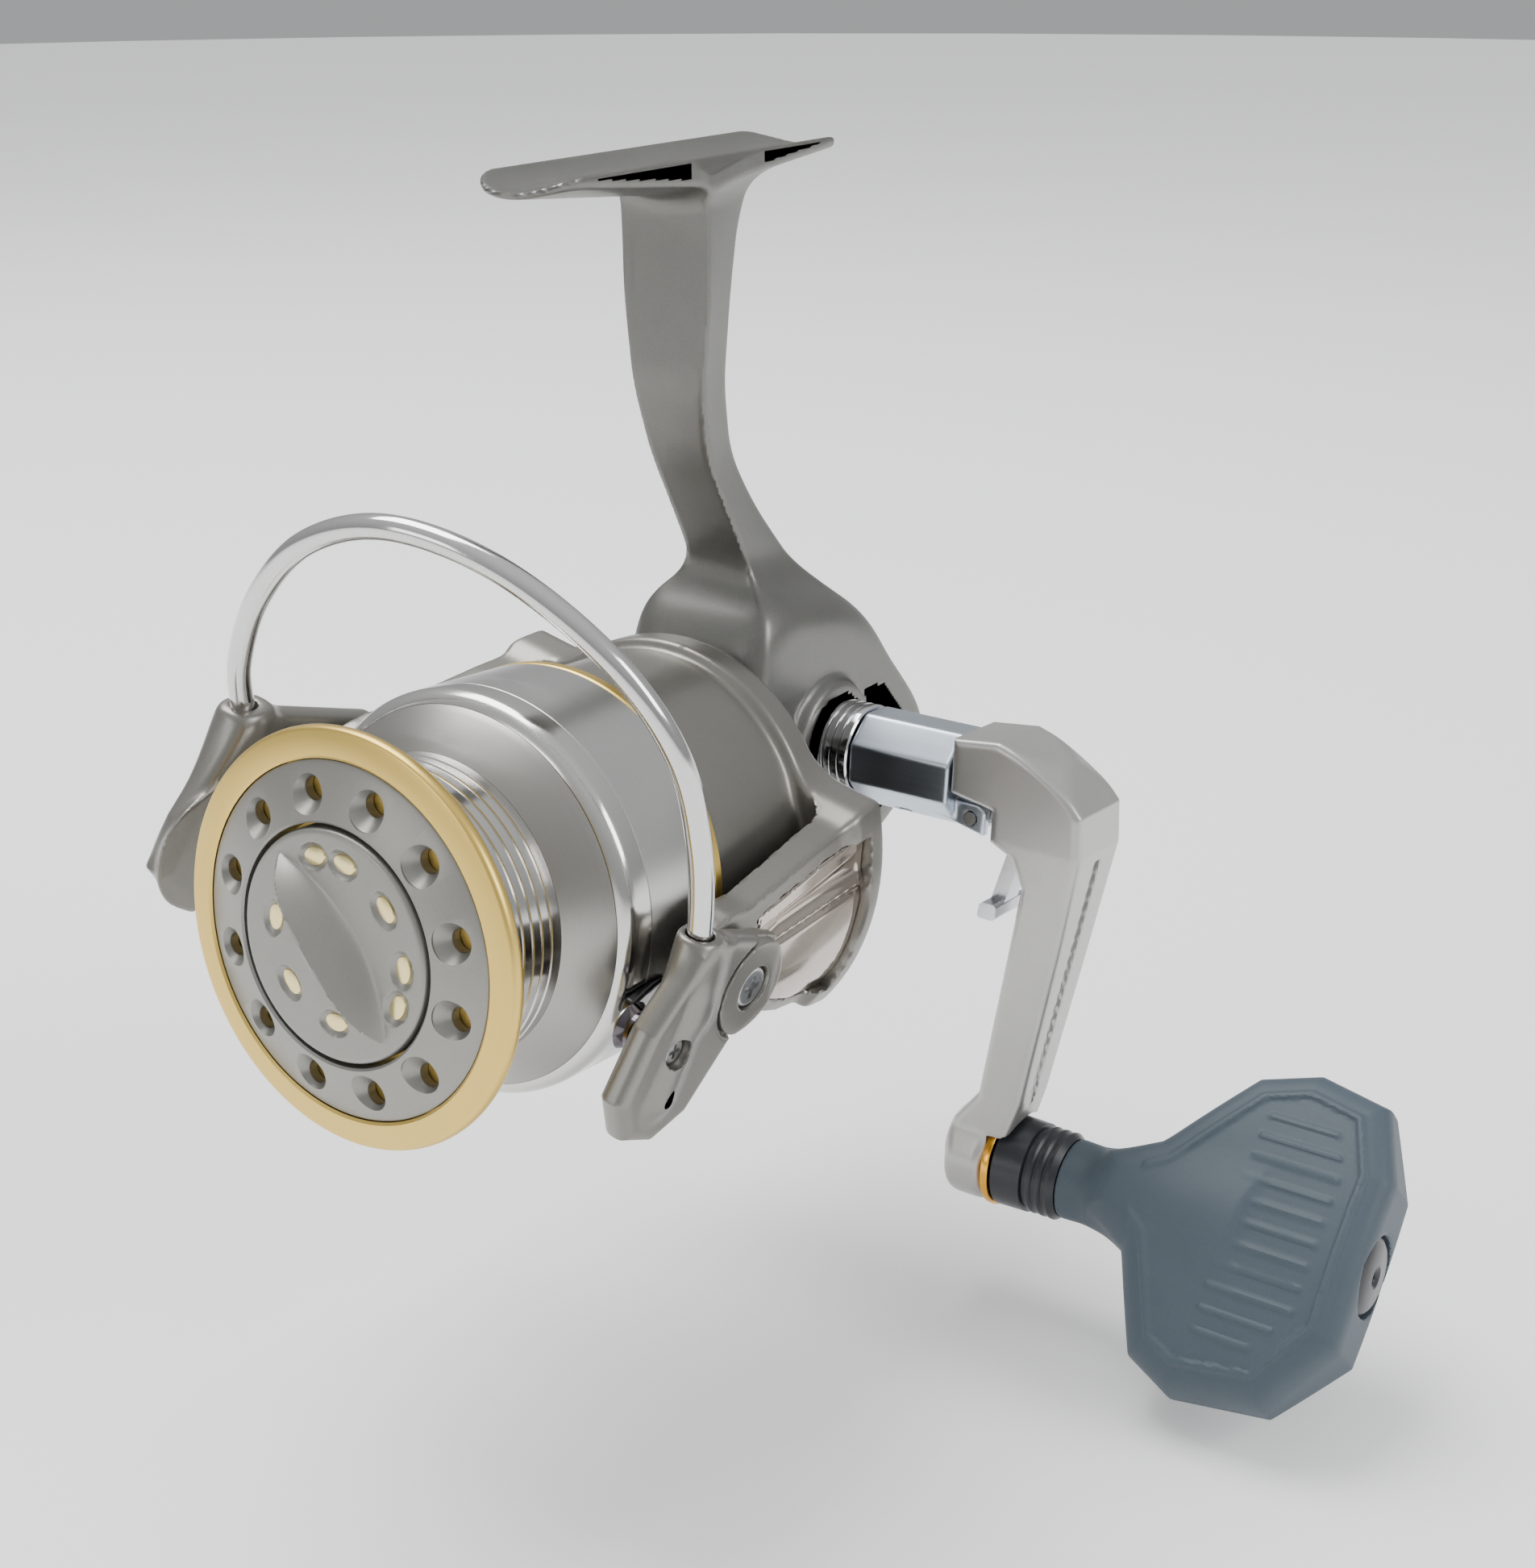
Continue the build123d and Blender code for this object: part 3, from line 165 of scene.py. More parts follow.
def polygon(u: Array, v: Array, outline: Outline) -> Array:
    """The signed distance from a closed outline.

    Args:
        u: first coordinate in the outline's plane, mm.
        v: second coordinate, mm.
        outline: the corners in order, mm.

    Returns:
        The signed distance, mm, negative inside.
    """
    points = np.asarray(outline, float)
    nearest = np.full(np.broadcast(u, v).shape, np.inf)
    inside = np.zeros(nearest.shape, bool)
    for (x0, y0), (x1, y1) in zip(points, np.roll(points, -1, axis=0)):
        ex, ey = x1 - x0, y1 - y0
        t = np.clip(((u - x0) * ex + (v - y0) * ey) / (ex * ex + ey * ey), 0.0, 1.0)
        nearest = np.minimum(nearest, (u - x0 - ex * t) ** 2 + (v - y0 - ey * t) ** 2)
        if y0 != y1:
            inside ^= ((y0 > v) != (y1 > v)) & (u < ex * (v - y0) / ey + x0)
    return np.where(inside, -1.0, 1.0) * np.sqrt(nearest)


def convex(u: Array, v: Array, outline: Outline, blend: float) -> Array:
    """A convex outline with its corners rounded.

    Args:
        u: first coordinate in the outline's plane, mm.
        v: second coordinate, mm.
        outline: the corners in order, mm.
        blend: the size of the rounding, mm.

    Returns:
        The signed distance, mm, negative inside.
    """
    points = np.asarray(outline, float)
    centre = points.mean(axis=0)
    result = None
    for (x0, y0), (x1, y1) in zip(points, np.roll(points, -1, axis=0)):
        nx, ny = y1 - y0, x0 - x1
        size = math.hypot(nx, ny)
        if (centre[0] - x0) * nx + (centre[1] - y0) * ny > 0:
            size = -size
        side = ((u - x0) * nx + (v - y0) * ny) / size
        result = side if result is None else common(result, side, blend)
    return result


def plate(flat: Array, across: Array, low: float, high: float, edge: float) -> Array:
    """A plate of the given outline between two planes, with its edges rounded."""
    return common(flat, span(across, low, high), edge)


def capsule(x: Array, y: Array, z: Array, a: Sequence[float], b: Sequence[float], r0: float,
            r1: float) -> Array:
    """A bar with round ends that tapers from one radius to another.

    Args:
        x, y, z: where to measure, mm.
        a: one end's centre, mm.
        b: the other end's centre, mm.
        r0: the radius at the first end, mm.
        r1: the radius at the other end, mm.

    Returns:
        The signed distance, mm, negative inside.
    """
    ax, ay, az = (b[i] - a[i] for i in range(3))
    t = np.clip(((x - a[0]) * ax + (y - a[1]) * ay + (z - a[2]) * az) / (ax * ax + ay * ay + az * az), 0.0,
                1.0)
    away = np.sqrt((x - a[0] - ax * t) ** 2 + (y - a[1] - ay * t) ** 2 + (z - a[2] - az * t) ** 2)
    return away - (r0 + (r1 - r0) * t)


def eased(at: Array, knots: Sequence[float], values: Sequence[float], ease: float) -> Array:
    """Values between knots, with the corners of the run eased over a length.

    Args:
        at: where the values are wanted.
        knots: the places that have a value, rising.
        values: the value at each knot.
        ease: the length over which a corner is eased.

    Returns:
        The eased value at each place.
    """
    fine = np.linspace(knots[0], knots[-1], 400)
    window = max(int(ease / (fine[1] - fine[0])) | 1, 1)
    line = np.pad(np.interp(fine, knots, values), window // 2, mode="edge")
    return np.interp(at, fine, np.convolve(line, np.ones(window) / window, mode="valid"))


def steps(*runs: tuple[float, float, float]) -> Array:
    """Grid planes: each run is (start, end, step), and the runs follow each other."""
    parts = [np.arange(start, end - step * 0.5, step) for start, end, step in runs]
    return np.concatenate(parts + [np.array([runs[-1][1]])])


def skin(solid: Field, grid: tuple[Array, Array, Array], settle: int = 3) -> tuple[Array, Array]:
    """Draws the surface of a solid field as a mesh of quads.

    Args:
        solid: the field.
        grid: the grid's planes along X, Y and Z; the solid lies inside it.
        settle: how often the points are evened out and pulled back on the surface.

    Returns:
        The points, and the quads with their normals outwards.
    """
    values = solid(*np.meshgrid(*grid, indexing="ij", sparse=True))
    shape = np.array(values.shape)
    weights = np.array([shape[1] * shape[2], shape[2], 1])
    cells, crossings, quads = [], [], []
    for axis in range(3):
        lower = np.take(values, range(shape[axis] - 1), axis)
        upper = np.take(values, range(1, shape[axis]), axis)
        edges = np.argwhere((lower < 0) != (upper < 0))
        v0, v1 = lower[tuple(edges.T)], upper[tuple(edges.T)]
        points = np.stack([grid[i][edges[:, i]] for i in range(3)], axis=1)
        reach = grid[axis][edges[:, axis] + 1] - points[:, axis]
        points[:, axis] += reach * v0 / (v0 - v1)
        u, w = (axis + 1) % 3, (axis + 2) % 3
        around = []
        for du, dw in ((0, 0), (1, 0), (1, 1), (0, 1)):
            cell = edges.copy()
            cell[:, u] -= du
            cell[:, w] -= dw
            around.append(cell @ weights)
        quad = np.stack(around, axis=1)
        outward = v0 > 0
        quad[outward] = quad[outward][:, ::-1]
        quads.append(quad)
        cells.append(quad.ravel())
        crossings.append(np.repeat(points, 4, axis=0))
    quads = np.concatenate(quads)
    cells, crossings = np.concatenate(cells), np.concatenate(crossings)
    keys, index = np.unique(cells, return_inverse=True)
    count = np.bincount(index)
    points = np.stack([np.bincount(index, crossings[:, i]) / count for i in range(3)], axis=1)
    faces = np.searchsorted(keys, quads)
    return settled(solid, points, faces, settle), faces


def settled(solid: Field, points: Array, faces: Array, rounds: int) -> Array:
    """Evens out a skin's points and pulls them back on the field's surface.

    Args:
        solid: the field.
        points: the points.
        faces: the quads between them.
        rounds: how often to do it.

    Returns:
        The settled points.
    """
    eps, most = 0.02, 0.3
    ends = np.concatenate([faces, np.roll(faces, -1, axis=1)], axis=0).reshape(2, -1)
    count = np.bincount(ends[0], minlength=len(points)).astype(float)
    for turn in range(rounds + 2):
        if turn < rounds:
            mean = np.stack([np.bincount(ends[0], points[ends[1], i], len(points)) for i in range(3)], axis=1)
            back = np.stack([np.bincount(ends[1], points[ends[0], i], len(points)) for i in range(3)], axis=1)
            points = 0.5 * points + 0.25 * (mean + back) / count[:, None]
        here = solid(*points.T)
        slope = np.stack([(solid(*(points + eps * np.eye(3)[i]).T) - here) / eps for i in range(3)], axis=1)
        size = np.maximum((slope ** 2).sum(axis=1), 0.05)
        move = slope * (here / size)[:, None]
        points = points - np.clip(move, -most, most)
    return points


# ---- meshes -------------------------------------------------------------------------------------------
def make(name: str, points: Array, faces: Sequence, place: Matrix,
         angle: float = SMOOTH_ANGLE) -> bpy.types.Object:
    """Makes an object at the origin, with its place in its mesh.

    Args:
        name: the piece's name.
        points: its points, in millimetres.
        faces: its faces.
        place: the matrix from the points' axes to the row's frame.
        angle: edges sharper than this stay sharp in the shading.

    Returns:
        The object, linked to the scene.
    """
    mesh = bpy.data.meshes.new(name)
    mesh.from_pydata([tuple(p) for p in np.asarray(points, float)], [], [tuple(map(int, f)) for f in faces])
    mesh.transform(place)
    mesh.validate()
    mesh.shade_smooth()
    mesh.set_sharp_from_angle(angle=angle)
    piece = bpy.data.objects.new(name, mesh)
    bpy.context.scene.collection.objects.link(piece)
    return piece


def finished(piece: bpy.types.Object, angle: float = SMOOTH_ANGLE) -> bpy.types.Object:
    """Turns a piece's modifiers into plain mesh.

    Args:
        piece: the piece.
        angle: edges sharper than this stay sharp in the shading.

    Returns:
        The same piece, with no modifiers left.
    """
    evaluated = piece.evaluated_get(bpy.context.evaluated_depsgraph_get())
    mesh = bpy.data.meshes.new_from_object(evaluated)
    piece.modifiers.clear()
    piece.data = mesh
    mesh.shade_smooth()
    mesh.set_sharp_from_angle(angle=angle)
    return piece


def cut(piece: bpy.types.Object, tool: bpy.types.Object, how: str = "DIFFERENCE", keep: bool = False) -> None:
    """Cuts a piece with a closed tool, or keeps only what they share.

    Args:
        piece: the piece that changes.
        tool: the tool.
        how: the boolean operation's name.
        keep: whether the tool is kept for another cut.
    """
    modifier = piece.modifiers.new("cut", "BOOLEAN")
    modifier.operation = how
    modifier.solver = "MANIFOLD"
    modifier.object = tool
    finished(piece)
    if not keep:
        bpy.data.objects.remove(tool)


def eased_edges(piece: bpy.types.Object, width: float, segments: int = 2) -> bpy.types.Object:
    """Rounds a piece's sharp edges a little, so that they catch the light.

    Args:
        piece: the piece.
        width: the rounding, in millimetres.
        segments: how many faces the rounding has.

    Returns:
        The same piece.
    """
    modifier = piece.modifiers.new("eased", "BEVEL")
    modifier.width = width * MM
    modifier.segments = segments
    modifier.limit_method = "ANGLE"
    modifier.angle_limit = math.radians(28.0)
    modifier.harden_normals = False
    return finished(piece)


def lathe(name: str, outline: Outline, place: Matrix, axis: str = "Y", around: int = 144) -> bpy.types.Object:
    """Turns a closed outline about an axis.

    Args:
        name: the piece's name.
        outline: (radius, distance along the axis) points, in order.
        place: the matrix from the axes it is drawn in to the row's frame.
        axis: "X" or "Y".
        around: how many steps go round.

    Returns:
        The turned piece, closed, with its normals outwards.
    """
    mesh = bmesh.new()
    rings = []
    for radius, along in outline:
        count = 1 if radius < 1e-6 else around
        ring = []
        for i in range(count):
            a = 2.0 * math.pi * i / around
            u, v = radius * math.cos(a), radius * math.sin(a)
            ring.append(mesh.verts.new((along, u, v) if axis == "X" else (u, along, v)))
        rings.append(ring)
    for first, second in zip(rings, rings[1:] + rings[:1]):
        for i in range(around):
            j = (i + 1) % around
            corner = [first[i % len(first)], first[j % len(first)], second[j % len(second)],
                      second[i % len(second)]]
            unique = list(dict.fromkeys(corner))
            if len(unique) > 2:
                mesh.faces.new(unique)
    bmesh.ops.recalc_face_normals(mesh, faces=mesh.faces)
    data = bpy.data.meshes.new(name)
    mesh.to_mesh(data)
    mesh.free()
    data.transform(place)
    data.shade_smooth()
    data.set_sharp_from_angle(angle=SMOOTH_ANGLE)
    piece = bpy.data.objects.new(name, data)
    bpy.context.scene.collection.objects.link(piece)
    return piece


def prism(name: str, outline: Outline, low: float, high: float, place: Matrix,
          axis: str = "X") -> bpy.types.Object:
    """A plate between two planes square to an axis, from its outline in the other two coordinates.

    Args:
        name: the piece's name.
        outline: the outline's corners, in order.
        low: where the plate starts.
        high: where it ends.
        place: the matrix from the axes it is drawn in to the row's frame.
        axis: "X", "Y" or "Z".

    Returns:
        The plate.
    """
    order = {"X": lambda u, v, w: (w, u, v), "Y": lambda u, v, w: (u, w, v), "Z": lambda u, v, w: (u, v,
                                                                                                   w)}[axis]
    n = len(outline)
    points = [order(u, v, w) for w in (low, high) for u, v in outline]
    sides = [(i, (i + 1) % n, n + (i + 1) % n, n + i) for i in range(n)]
    piece = make(name, points, [tuple(range(n)), tuple(range(n, 2 * n))] + sides, place)
    outwards(piece)
    return piece


def outwards(piece: bpy.types.Object) -> None:
    """Turns a closed piece's faces outwards.

    Args:
        piece: a closed mesh object, changed in place.
    """
    mesh = bmesh.new()
    mesh.from_mesh(piece.data)
    bmesh.ops.recalc_face_normals(mesh, faces=mesh.faces)
    mesh.to_mesh(piece.data)
    mesh.free()


def merged(name: str, pieces: Sequence[bpy.types.Object]) -> bpy.types.Object:
    """Puts several objects' meshes into one object, with the first one's finish.

    Args:
        name: the new piece's name.
        pieces: the objects, which are used up.

    Returns:
        The joined piece.
    """
    mesh = bmesh.new()
    for piece in pieces:
        mesh.from_mesh(piece.data)
    data = bpy.data.meshes.new(name)
    mesh.to_mesh(data)
    mesh.free()
    data.shade_smooth()
    data.set_sharp_from_angle(angle=SMOOTH_ANGLE)
    for piece in pieces:
        bpy.data.objects.remove(piece)
    joined = bpy.data.objects.new(name, data)
    bpy.context.scene.collection.objects.link(joined)
    return joined


def arc(radius: float, start: float, end: float, count: int) -> list[tuple[float, float]]:
    """Points along an arc about the origin, its angles in degrees."""
    angles = [math.radians(start + (end - start) * i / (count - 1)) for i in range(count)]
    return [(radius * math.cos(a), radius * math.sin(a)) for a in angles]


def rounded(outline: Outline, radius: float, count: int = 4) -> list[tuple[float, float]]:
    """An outline with each corner turned into a short arc.

    Args:
        outline: the corners, in order.
        radius: how far from each corner its arc starts.
        count: how many points each arc has.

    Returns:
        The rounded outline.
    """
    result = []
    points = [Vector(p) for p in outline]
    for before, corner, after in zip(points[-1:] + points[:-1], points, points[1:] + points[:1]):
        reach = min(radius, (before - corner).length * 0.45, (after - corner).length * 0.45)
        a = corner + (before - corner).normalized() * reach
        b = corner + (after - corner).normalized() * reach
        for i in range(count):
            t = i / (count - 1)
            point = a.lerp(corner, t).lerp(corner.lerp(b, t), t)
            result.append((point.x, point.y))
    return result


# ---- shader groups and finishes -------------------------------------------------------------------------
class Marks(Enum):
    """The marks that making leaves on a surface."""

    FLAKE = "flake"
    TURNED = "turned"
    DRAWN = "drawn"
    MOULDED = "moulded"
    POLISHED = "polished"


class Sockets:
    """Adds nodes to a tree and joins them, so that a network reads from left to right."""

    def __init__(self, tree: bpy.types.NodeTree) -> None:
        """Starts on a tree."""
        self.tree = tree

    def add(self, kind: str, values: dict | None = None, **settings: object) -> bpy.types.Node:
        """Adds a node.

        Args:
            kind: the node's type.
            values: input values, or sockets to link from, by input name or number.
            settings: the node's own settings.

        Returns:
            The node.
        """
        node = self.tree.nodes.new(kind)
        for key, setting in settings.items():
            setattr(node, key, setting)
        for key, value in (values or {}).items():
            if isinstance(value, bpy.types.NodeSocket):
                self.tree.links.new(value, node.inputs[key])
            else:
                node.inputs[key].default_value = value
        return node


def shader_group(name: str, inputs: dict[str, float], outputs: Sequence[str]) -> tuple[Sockets,
                                                                                       bpy.types.Node]:
    """Starts a shader node group.

    Args:
        name: the group's name.
        inputs: its inputs, with their usual values.
        outputs: its outputs.

    Returns:
        The builder for its nodes, and its input node.
    """
    tree = bpy.data.node_groups.new(name, "ShaderNodeTree")
    for label, value in inputs.items():
        socket = tree.interface.new_socket(name=label, in_out="INPUT", socket_type="NodeSocketFloat")
        socket.default_value = value
    for label in outputs:
        tree.interface.new_socket(name=label, in_out="OUTPUT", socket_type="NodeSocketFloat")
    build = Sockets(tree)
    return build, build.add("NodeGroupInput")


def reel_coordinates(build: Sockets) -> bpy.types.Node:
    """Object coordinates turned and moved to the reel's own axes, still in metres.

    Args:
        build: the sockets of the tree in work.

    Returns:
        The node that puts the coordinates out.
    """
    where = build.add("ShaderNodeTexCoord")
    origin = AXES.matrix.translation
    moved = build.add("ShaderNodeVectorMath", {0: where.outputs["Object"], 1: tuple(origin)},
                      operation="SUBTRACT")
    return build.add("ShaderNodeMapping", {"Vector": moved.outputs[0], "Rotation": (AXES.pitch, 0.0, 0.0)})


def flake_group() -> bpy.types.NodeTree:
    """The fine sparkle and slight orange peel of metallic paint, also used for cast and moulded grain.

    Returns:
        The group's tree.
    """
    build, given = shader_group("fine_grain", {"Scale": 3000.0, "Soft Scale": 120.0}, ("Shade", "Height"))
    where = build.add("ShaderNodeTexCoord")
    fine = build.add("ShaderNodeTexNoise", {"Vector": where.outputs["Object"],
                                            "Scale": given.outputs["Scale"],
                                            "Detail": 2.0, "Roughness": 0.6})
    soft = build.add("ShaderNodeTexNoise", {"Vector": where.outputs["Object"],
                                            "Scale": given.outputs["Soft Scale"], "Detail": 3.0})
    shade = build.add("ShaderNodeMath", {0: fine.outputs["Fac"], 1: 0.6}, operation="MULTIPLY")
    shade = build.add("ShaderNodeMath", {0: soft.outputs["Fac"], 1: 0.4, 2: shade.outputs[0]},
                      operation="MULTIPLY_ADD")
    build.add("NodeGroupOutput", {"Shade": shade.outputs[0], "Height": fine.outputs["Fac"]})
    return build.tree


def turning_group() -> bpy.types.NodeTree:
    """Fine rings about the spool axis, as a lathe tool leaves them.

    Returns:
        The group's tree.
    """
    build, given = shader_group("turning_marks", {"Rings": 2600.0, "Waver": 0.02}, ("Shade", "Height"))
    place = reel_coordinates(build)
    parts = build.add("ShaderNodeSeparateXYZ", {0: place.outputs[0]})
    flat = build.add("ShaderNodeCombineXYZ", {"X": parts.outputs["X"], "Y": parts.outputs["Z"]})
    radius = build.add("ShaderNodeVectorMath", {0: flat.outputs[0]}, operation="LENGTH")
    reach = build.add("ShaderNodeMath", {0: parts.outputs["Y"], 1: 0.9, 2: radius.outputs["Value"]},
                      operation="MULTIPLY_ADD")
    steps_along = build.add("ShaderNodeMath", {0: reach.outputs[0], 1: given.outputs["Rings"]},
                            operation="MULTIPLY")
    around = build.add("ShaderNodeVectorMath", {0: flat.outputs[0], 1: radius.outputs["Value"]},
                       operation="DIVIDE")
    drift = build.add("ShaderNodeVectorMath", {0: around.outputs[0], "Scale": given.outputs["Waver"]},
                      operation="SCALE")
    line = build.add("ShaderNodeCombineXYZ", {"X": steps_along.outputs[0]})
    spot = build.add("ShaderNodeVectorMath", {0: line.outputs[0], 1: drift.outputs[0]}, operation="ADD")
    rings = build.add("ShaderNodeTexNoise", {"Vector": spot.outputs[0], "Scale": 1.0, "Detail": 3.0,
                                             "Roughness": 0.7})
    build.add("NodeGroupOutput", {"Shade": rings.outputs["Fac"], "Height": rings.outputs["Fac"]})
    return build.tree


def drawn_group() -> bpy.types.NodeTree:
    """Fine straight lines along X, as brushing or drawing leaves them.

    Returns:
        The group's tree.
    """
    build, given = shader_group("drawn_lines", {"Scale": 2500.0, "Length": 40.0}, ("Shade", "Height"))
    place = reel_coordinates(build)
    parts = build.add("ShaderNodeSeparateXYZ", {0: place.outputs[0]})
    along = build.add("ShaderNodeMath", {0: parts.outputs["X"], 1: given.outputs["Length"]},
                      operation="MULTIPLY")
    across = [build.add("ShaderNodeMath", {0: parts.outputs[axis], 1: given.outputs["Scale"]},
                        operation="MULTIPLY") for axis in ("Y", "Z")]
    spot = build.add("ShaderNodeCombineXYZ", {"X": along.outputs[0], "Y": across[0].outputs[0],
                                              "Z": across[1].outputs[0]})
    lines = build.add("ShaderNodeTexNoise", {"Vector": spot.outputs[0], "Scale": 1.0, "Detail": 2.0})
    build.add("NodeGroupOutput", {"Shade": lines.outputs["Fac"], "Height": lines.outputs["Fac"]})
    return build.tree


def handling_group() -> bpy.types.NodeTree:
    """Soft smudges and a few hairline scuffs from handling, as a change of roughness.

    Returns:
        The group's tree.
    """
    build, given = shader_group("handling", {"Even": 0.35, "Change": 0.06}, ("Roughness",))
    where = build.add("ShaderNodeTexCoord")
    smudge = build.add("ShaderNodeTexNoise", {"Vector": where.outputs["Object"], "Scale": 55.0, "Detail": 4.0,
                                              "Distortion": 0.6})
    scuff = build.add("ShaderNodeTexVoronoi", {"Vector": where.outputs["Object"], "Scale": 140.0},
                      feature="DISTANCE_TO_EDGE")
    thin = build.add("ShaderNodeMapRange", {"Value": scuff.outputs["Distance"], "From Min": 0.0,
                                            "From Max": 0.02, "To Min": 0.5, "To Max": 0.0})
    both = build.add("ShaderNodeMath", {0: smudge.outputs["Fac"], 1: thin.outputs[0]}, operation="ADD")
    centred = build.add("ShaderNodeMath", {0: both.outputs[0], 1: 0.5}, operation="SUBTRACT")
    rough = build.add("ShaderNodeMath", {0: centred.outputs[0], 1: given.outputs["Change"],
                                         2: given.outputs["Even"]}, operation="MULTIPLY_ADD", use_clamp=True)
    build.add("NodeGroupOutput", {"Roughness": rough.outputs[0]})
    return build.tree


GROUPS: dict[str, bpy.types.NodeTree] = {}


def shared_group(name: str) -> bpy.types.NodeTree:
    """One of the shared shader groups, built on first use.

    Args:
        name: grain, turned, drawn or handling.

    Returns:
        The group's tree.
    """
    if name not in GROUPS:
        GROUPS[name] = {"grain": flake_group, "turned": turning_group, "drawn": drawn_group,
                        "handling": handling_group}[name]()
    return GROUPS[name]


@dataclass(frozen=True)
class Finish:
    """A surface finish: its colours, how it reflects, and the marks that it carries."""

    name: str
    light: tuple[float, float, float]
    dark: tuple[float, float, float]
    metallic: float = 1.0
    roughness: float = 0.35
    change: float = 0.08
    marks: Marks = Marks.FLAKE
    scale: float = 3000.0
    depth: float = 0.004
    coat: float = 0.0
    coat_roughness: float = 0.12
    anisotropic: float = 0.0
    specular: float = 0.5

    def material(self) -> bpy.types.Material:
        """Builds the finish's material, or finds it if it is built already.

        Returns:
            The material.
        """
        known = bpy.data.materials.get(self.name + "_look")
        if known:
            return known
        material = bpy.data.materials.new(self.name + "_look")
        material.use_nodes = True
        material.node_tree.nodes.clear()
        build = Sockets(material.node_tree)
        marks = build.add("ShaderNodeGroup", node_tree=shared_group(self.group_name()))
        marks.inputs["Rings" if self.marks is Marks.TURNED else "Scale"].default_value = self.scale
        handling = build.add("ShaderNodeGroup", node_tree=shared_group("handling"))
        handling.inputs["Even"].default_value = self.roughness
        handling.inputs["Change"].default_value = self.change
        colour = build.add("ShaderNodeMix", data_type="RGBA")
        colour.inputs["A"].default_value = (*self.dark, 1.0)
        colour.inputs["B"].default_value = (*self.light, 1.0)
        material.node_tree.links.new(marks.outputs["Shade"], colour.inputs["Factor"])
        bump = build.add("ShaderNodeBump", {"Height": marks.outputs["Height"], "Strength": 0.6,
                                            "Distance": self.depth * MM})
        shader = build.add("ShaderNodeBsdfPrincipled", {
            "Base Color": colour.outputs["Result"], "Metallic": self.metallic,
            "Roughness": handling.outputs["Roughness"], "Normal": bump.outputs["Normal"],
            "Coat Weight": self.coat, "Coat Roughness": self.coat_roughness,
            "Specular IOR Level": self.specular, "Anisotropic": self.anisotropic})
        build.add("ShaderNodeOutputMaterial", {"Surface": shader.outputs["BSDF"]})
        return material

    def group_name(self) -> str:
        """The shared group that draws this finish's marks."""
        return {Marks.TURNED: "turned", Marks.DRAWN: "drawn"}.get(self.marks, "grain")


CASE_PAINT = Finish("case_paint", (0.40, 0.395, 0.37), (0.29, 0.285, 0.27), 0.75, 0.36, 0.06, scale=3400.0,
                    depth=0.012, coat=0.12)
ROTOR_PAINT = Finish("rotor_paint", (0.27, 0.262, 0.238), (0.20, 0.192, 0.172), 0.8, 0.36, 0.06, scale=3400.0,
                     depth=0.012, coat=0.12)
FACE_PAINT = Finish("face_paint", (0.33, 0.325, 0.30), (0.25, 0.245, 0.225), 0.7, 0.40, 0.05, scale=3600.0,
                    depth=0.010, coat=0.08)
ARM_PAINT = Finish("arm_paint", (0.52, 0.515, 0.50), (0.40, 0.395, 0.38), 0.75, 0.34, 0.06, scale=3200.0,
                   depth=0.012, coat=0.12)
LIP_GOLD = Finish("lip_gold", (0.80, 0.58, 0.17), (0.68, 0.47, 0.12), 1.0, 0.36, 0.05, Marks.TURNED, 1500.0,
                  0.006)
INLAY_GOLD = Finish("inlay_gold", (0.93, 0.80, 0.42), (0.80, 0.66, 0.30), 1.0, 0.24, 0.05, scale=1800.0,
                    depth=0.002)
ORANGE_GOLD = Finish("orange_gold", (0.95, 0.50, 0.07), (0.80, 0.38, 0.04), 1.0, 0.22, 0.05, scale=1800.0,
                     depth=0.002)
TURNED_POLISHED = Finish("turned_polished", (0.66, 0.65, 0.63), (0.62, 0.61, 0.59), 1.0, 0.16, 0.06,
                         Marks.TURNED, 1700.0, 0.006, anisotropic=0.3)
TURNED_SATIN = Finish("turned_satin", (0.40, 0.39, 0.365), (0.32, 0.31, 0.29), 1.0, 0.34, 0.05, Marks.TURNED,
                      2400.0, 0.006, anisotropic=0.2)
SKIRT_SATIN = Finish("skirt_satin", (0.63, 0.63, 0.61), (0.52, 0.52, 0.50), 1.0, 0.30, 0.05, Marks.TURNED,
                     2600.0, 0.004, anisotropic=0.2)
WIRE_STEEL = Finish("wire_steel", (0.72, 0.71, 0.70), (0.60, 0.59, 0.58), 1.0, 0.12, 0.05, scale=900.0,
                    depth=0.002)
BRONZE_MIRROR = Finish("bronze_mirror", (0.60, 0.53, 0.48), (0.46, 0.40, 0.35), 1.0, 0.10, 0.06, scale=700.0,
                       depth=0.003)
CHROME = Finish("collar_chrome", (0.86, 0.86, 0.87), (0.74, 0.74, 0.76), 1.0, 0.10, 0.05, scale=900.0,
                depth=0.002)
SLEEVE_SATIN = Finish("sleeve_satin", (0.60, 0.66, 0.74), (0.50, 0.55, 0.62), 1.0, 0.30, 0.05, Marks.DRAWN,
                      2600.0, 0.004)
STEEL = Finish("screw_steel", (0.62, 0.62, 0.62), (0.48, 0.48, 0.48), 1.0, 0.26, 0.08, scale=1500.0,
               depth=0.003)
BRASS = Finish("machined_brass", (0.80, 0.60, 0.26), (0.66, 0.48, 0.18), 1.0, 0.28, 0.08, scale=1500.0,
               depth=0.003)
ZINC = Finish("cast_zinc", (0.50, 0.50, 0.50), (0.38, 0.38, 0.38), 1.0, 0.42, 0.08, scale=1500.0, depth=0.008)
BLACK_PLASTIC = Finish("black_plastic", (0.022, 0.024, 0.030), (0.012, 0.013, 0.017), 0.0, 0.34, 0.10,
                       Marks.MOULDED, 2200.0, 0.006)
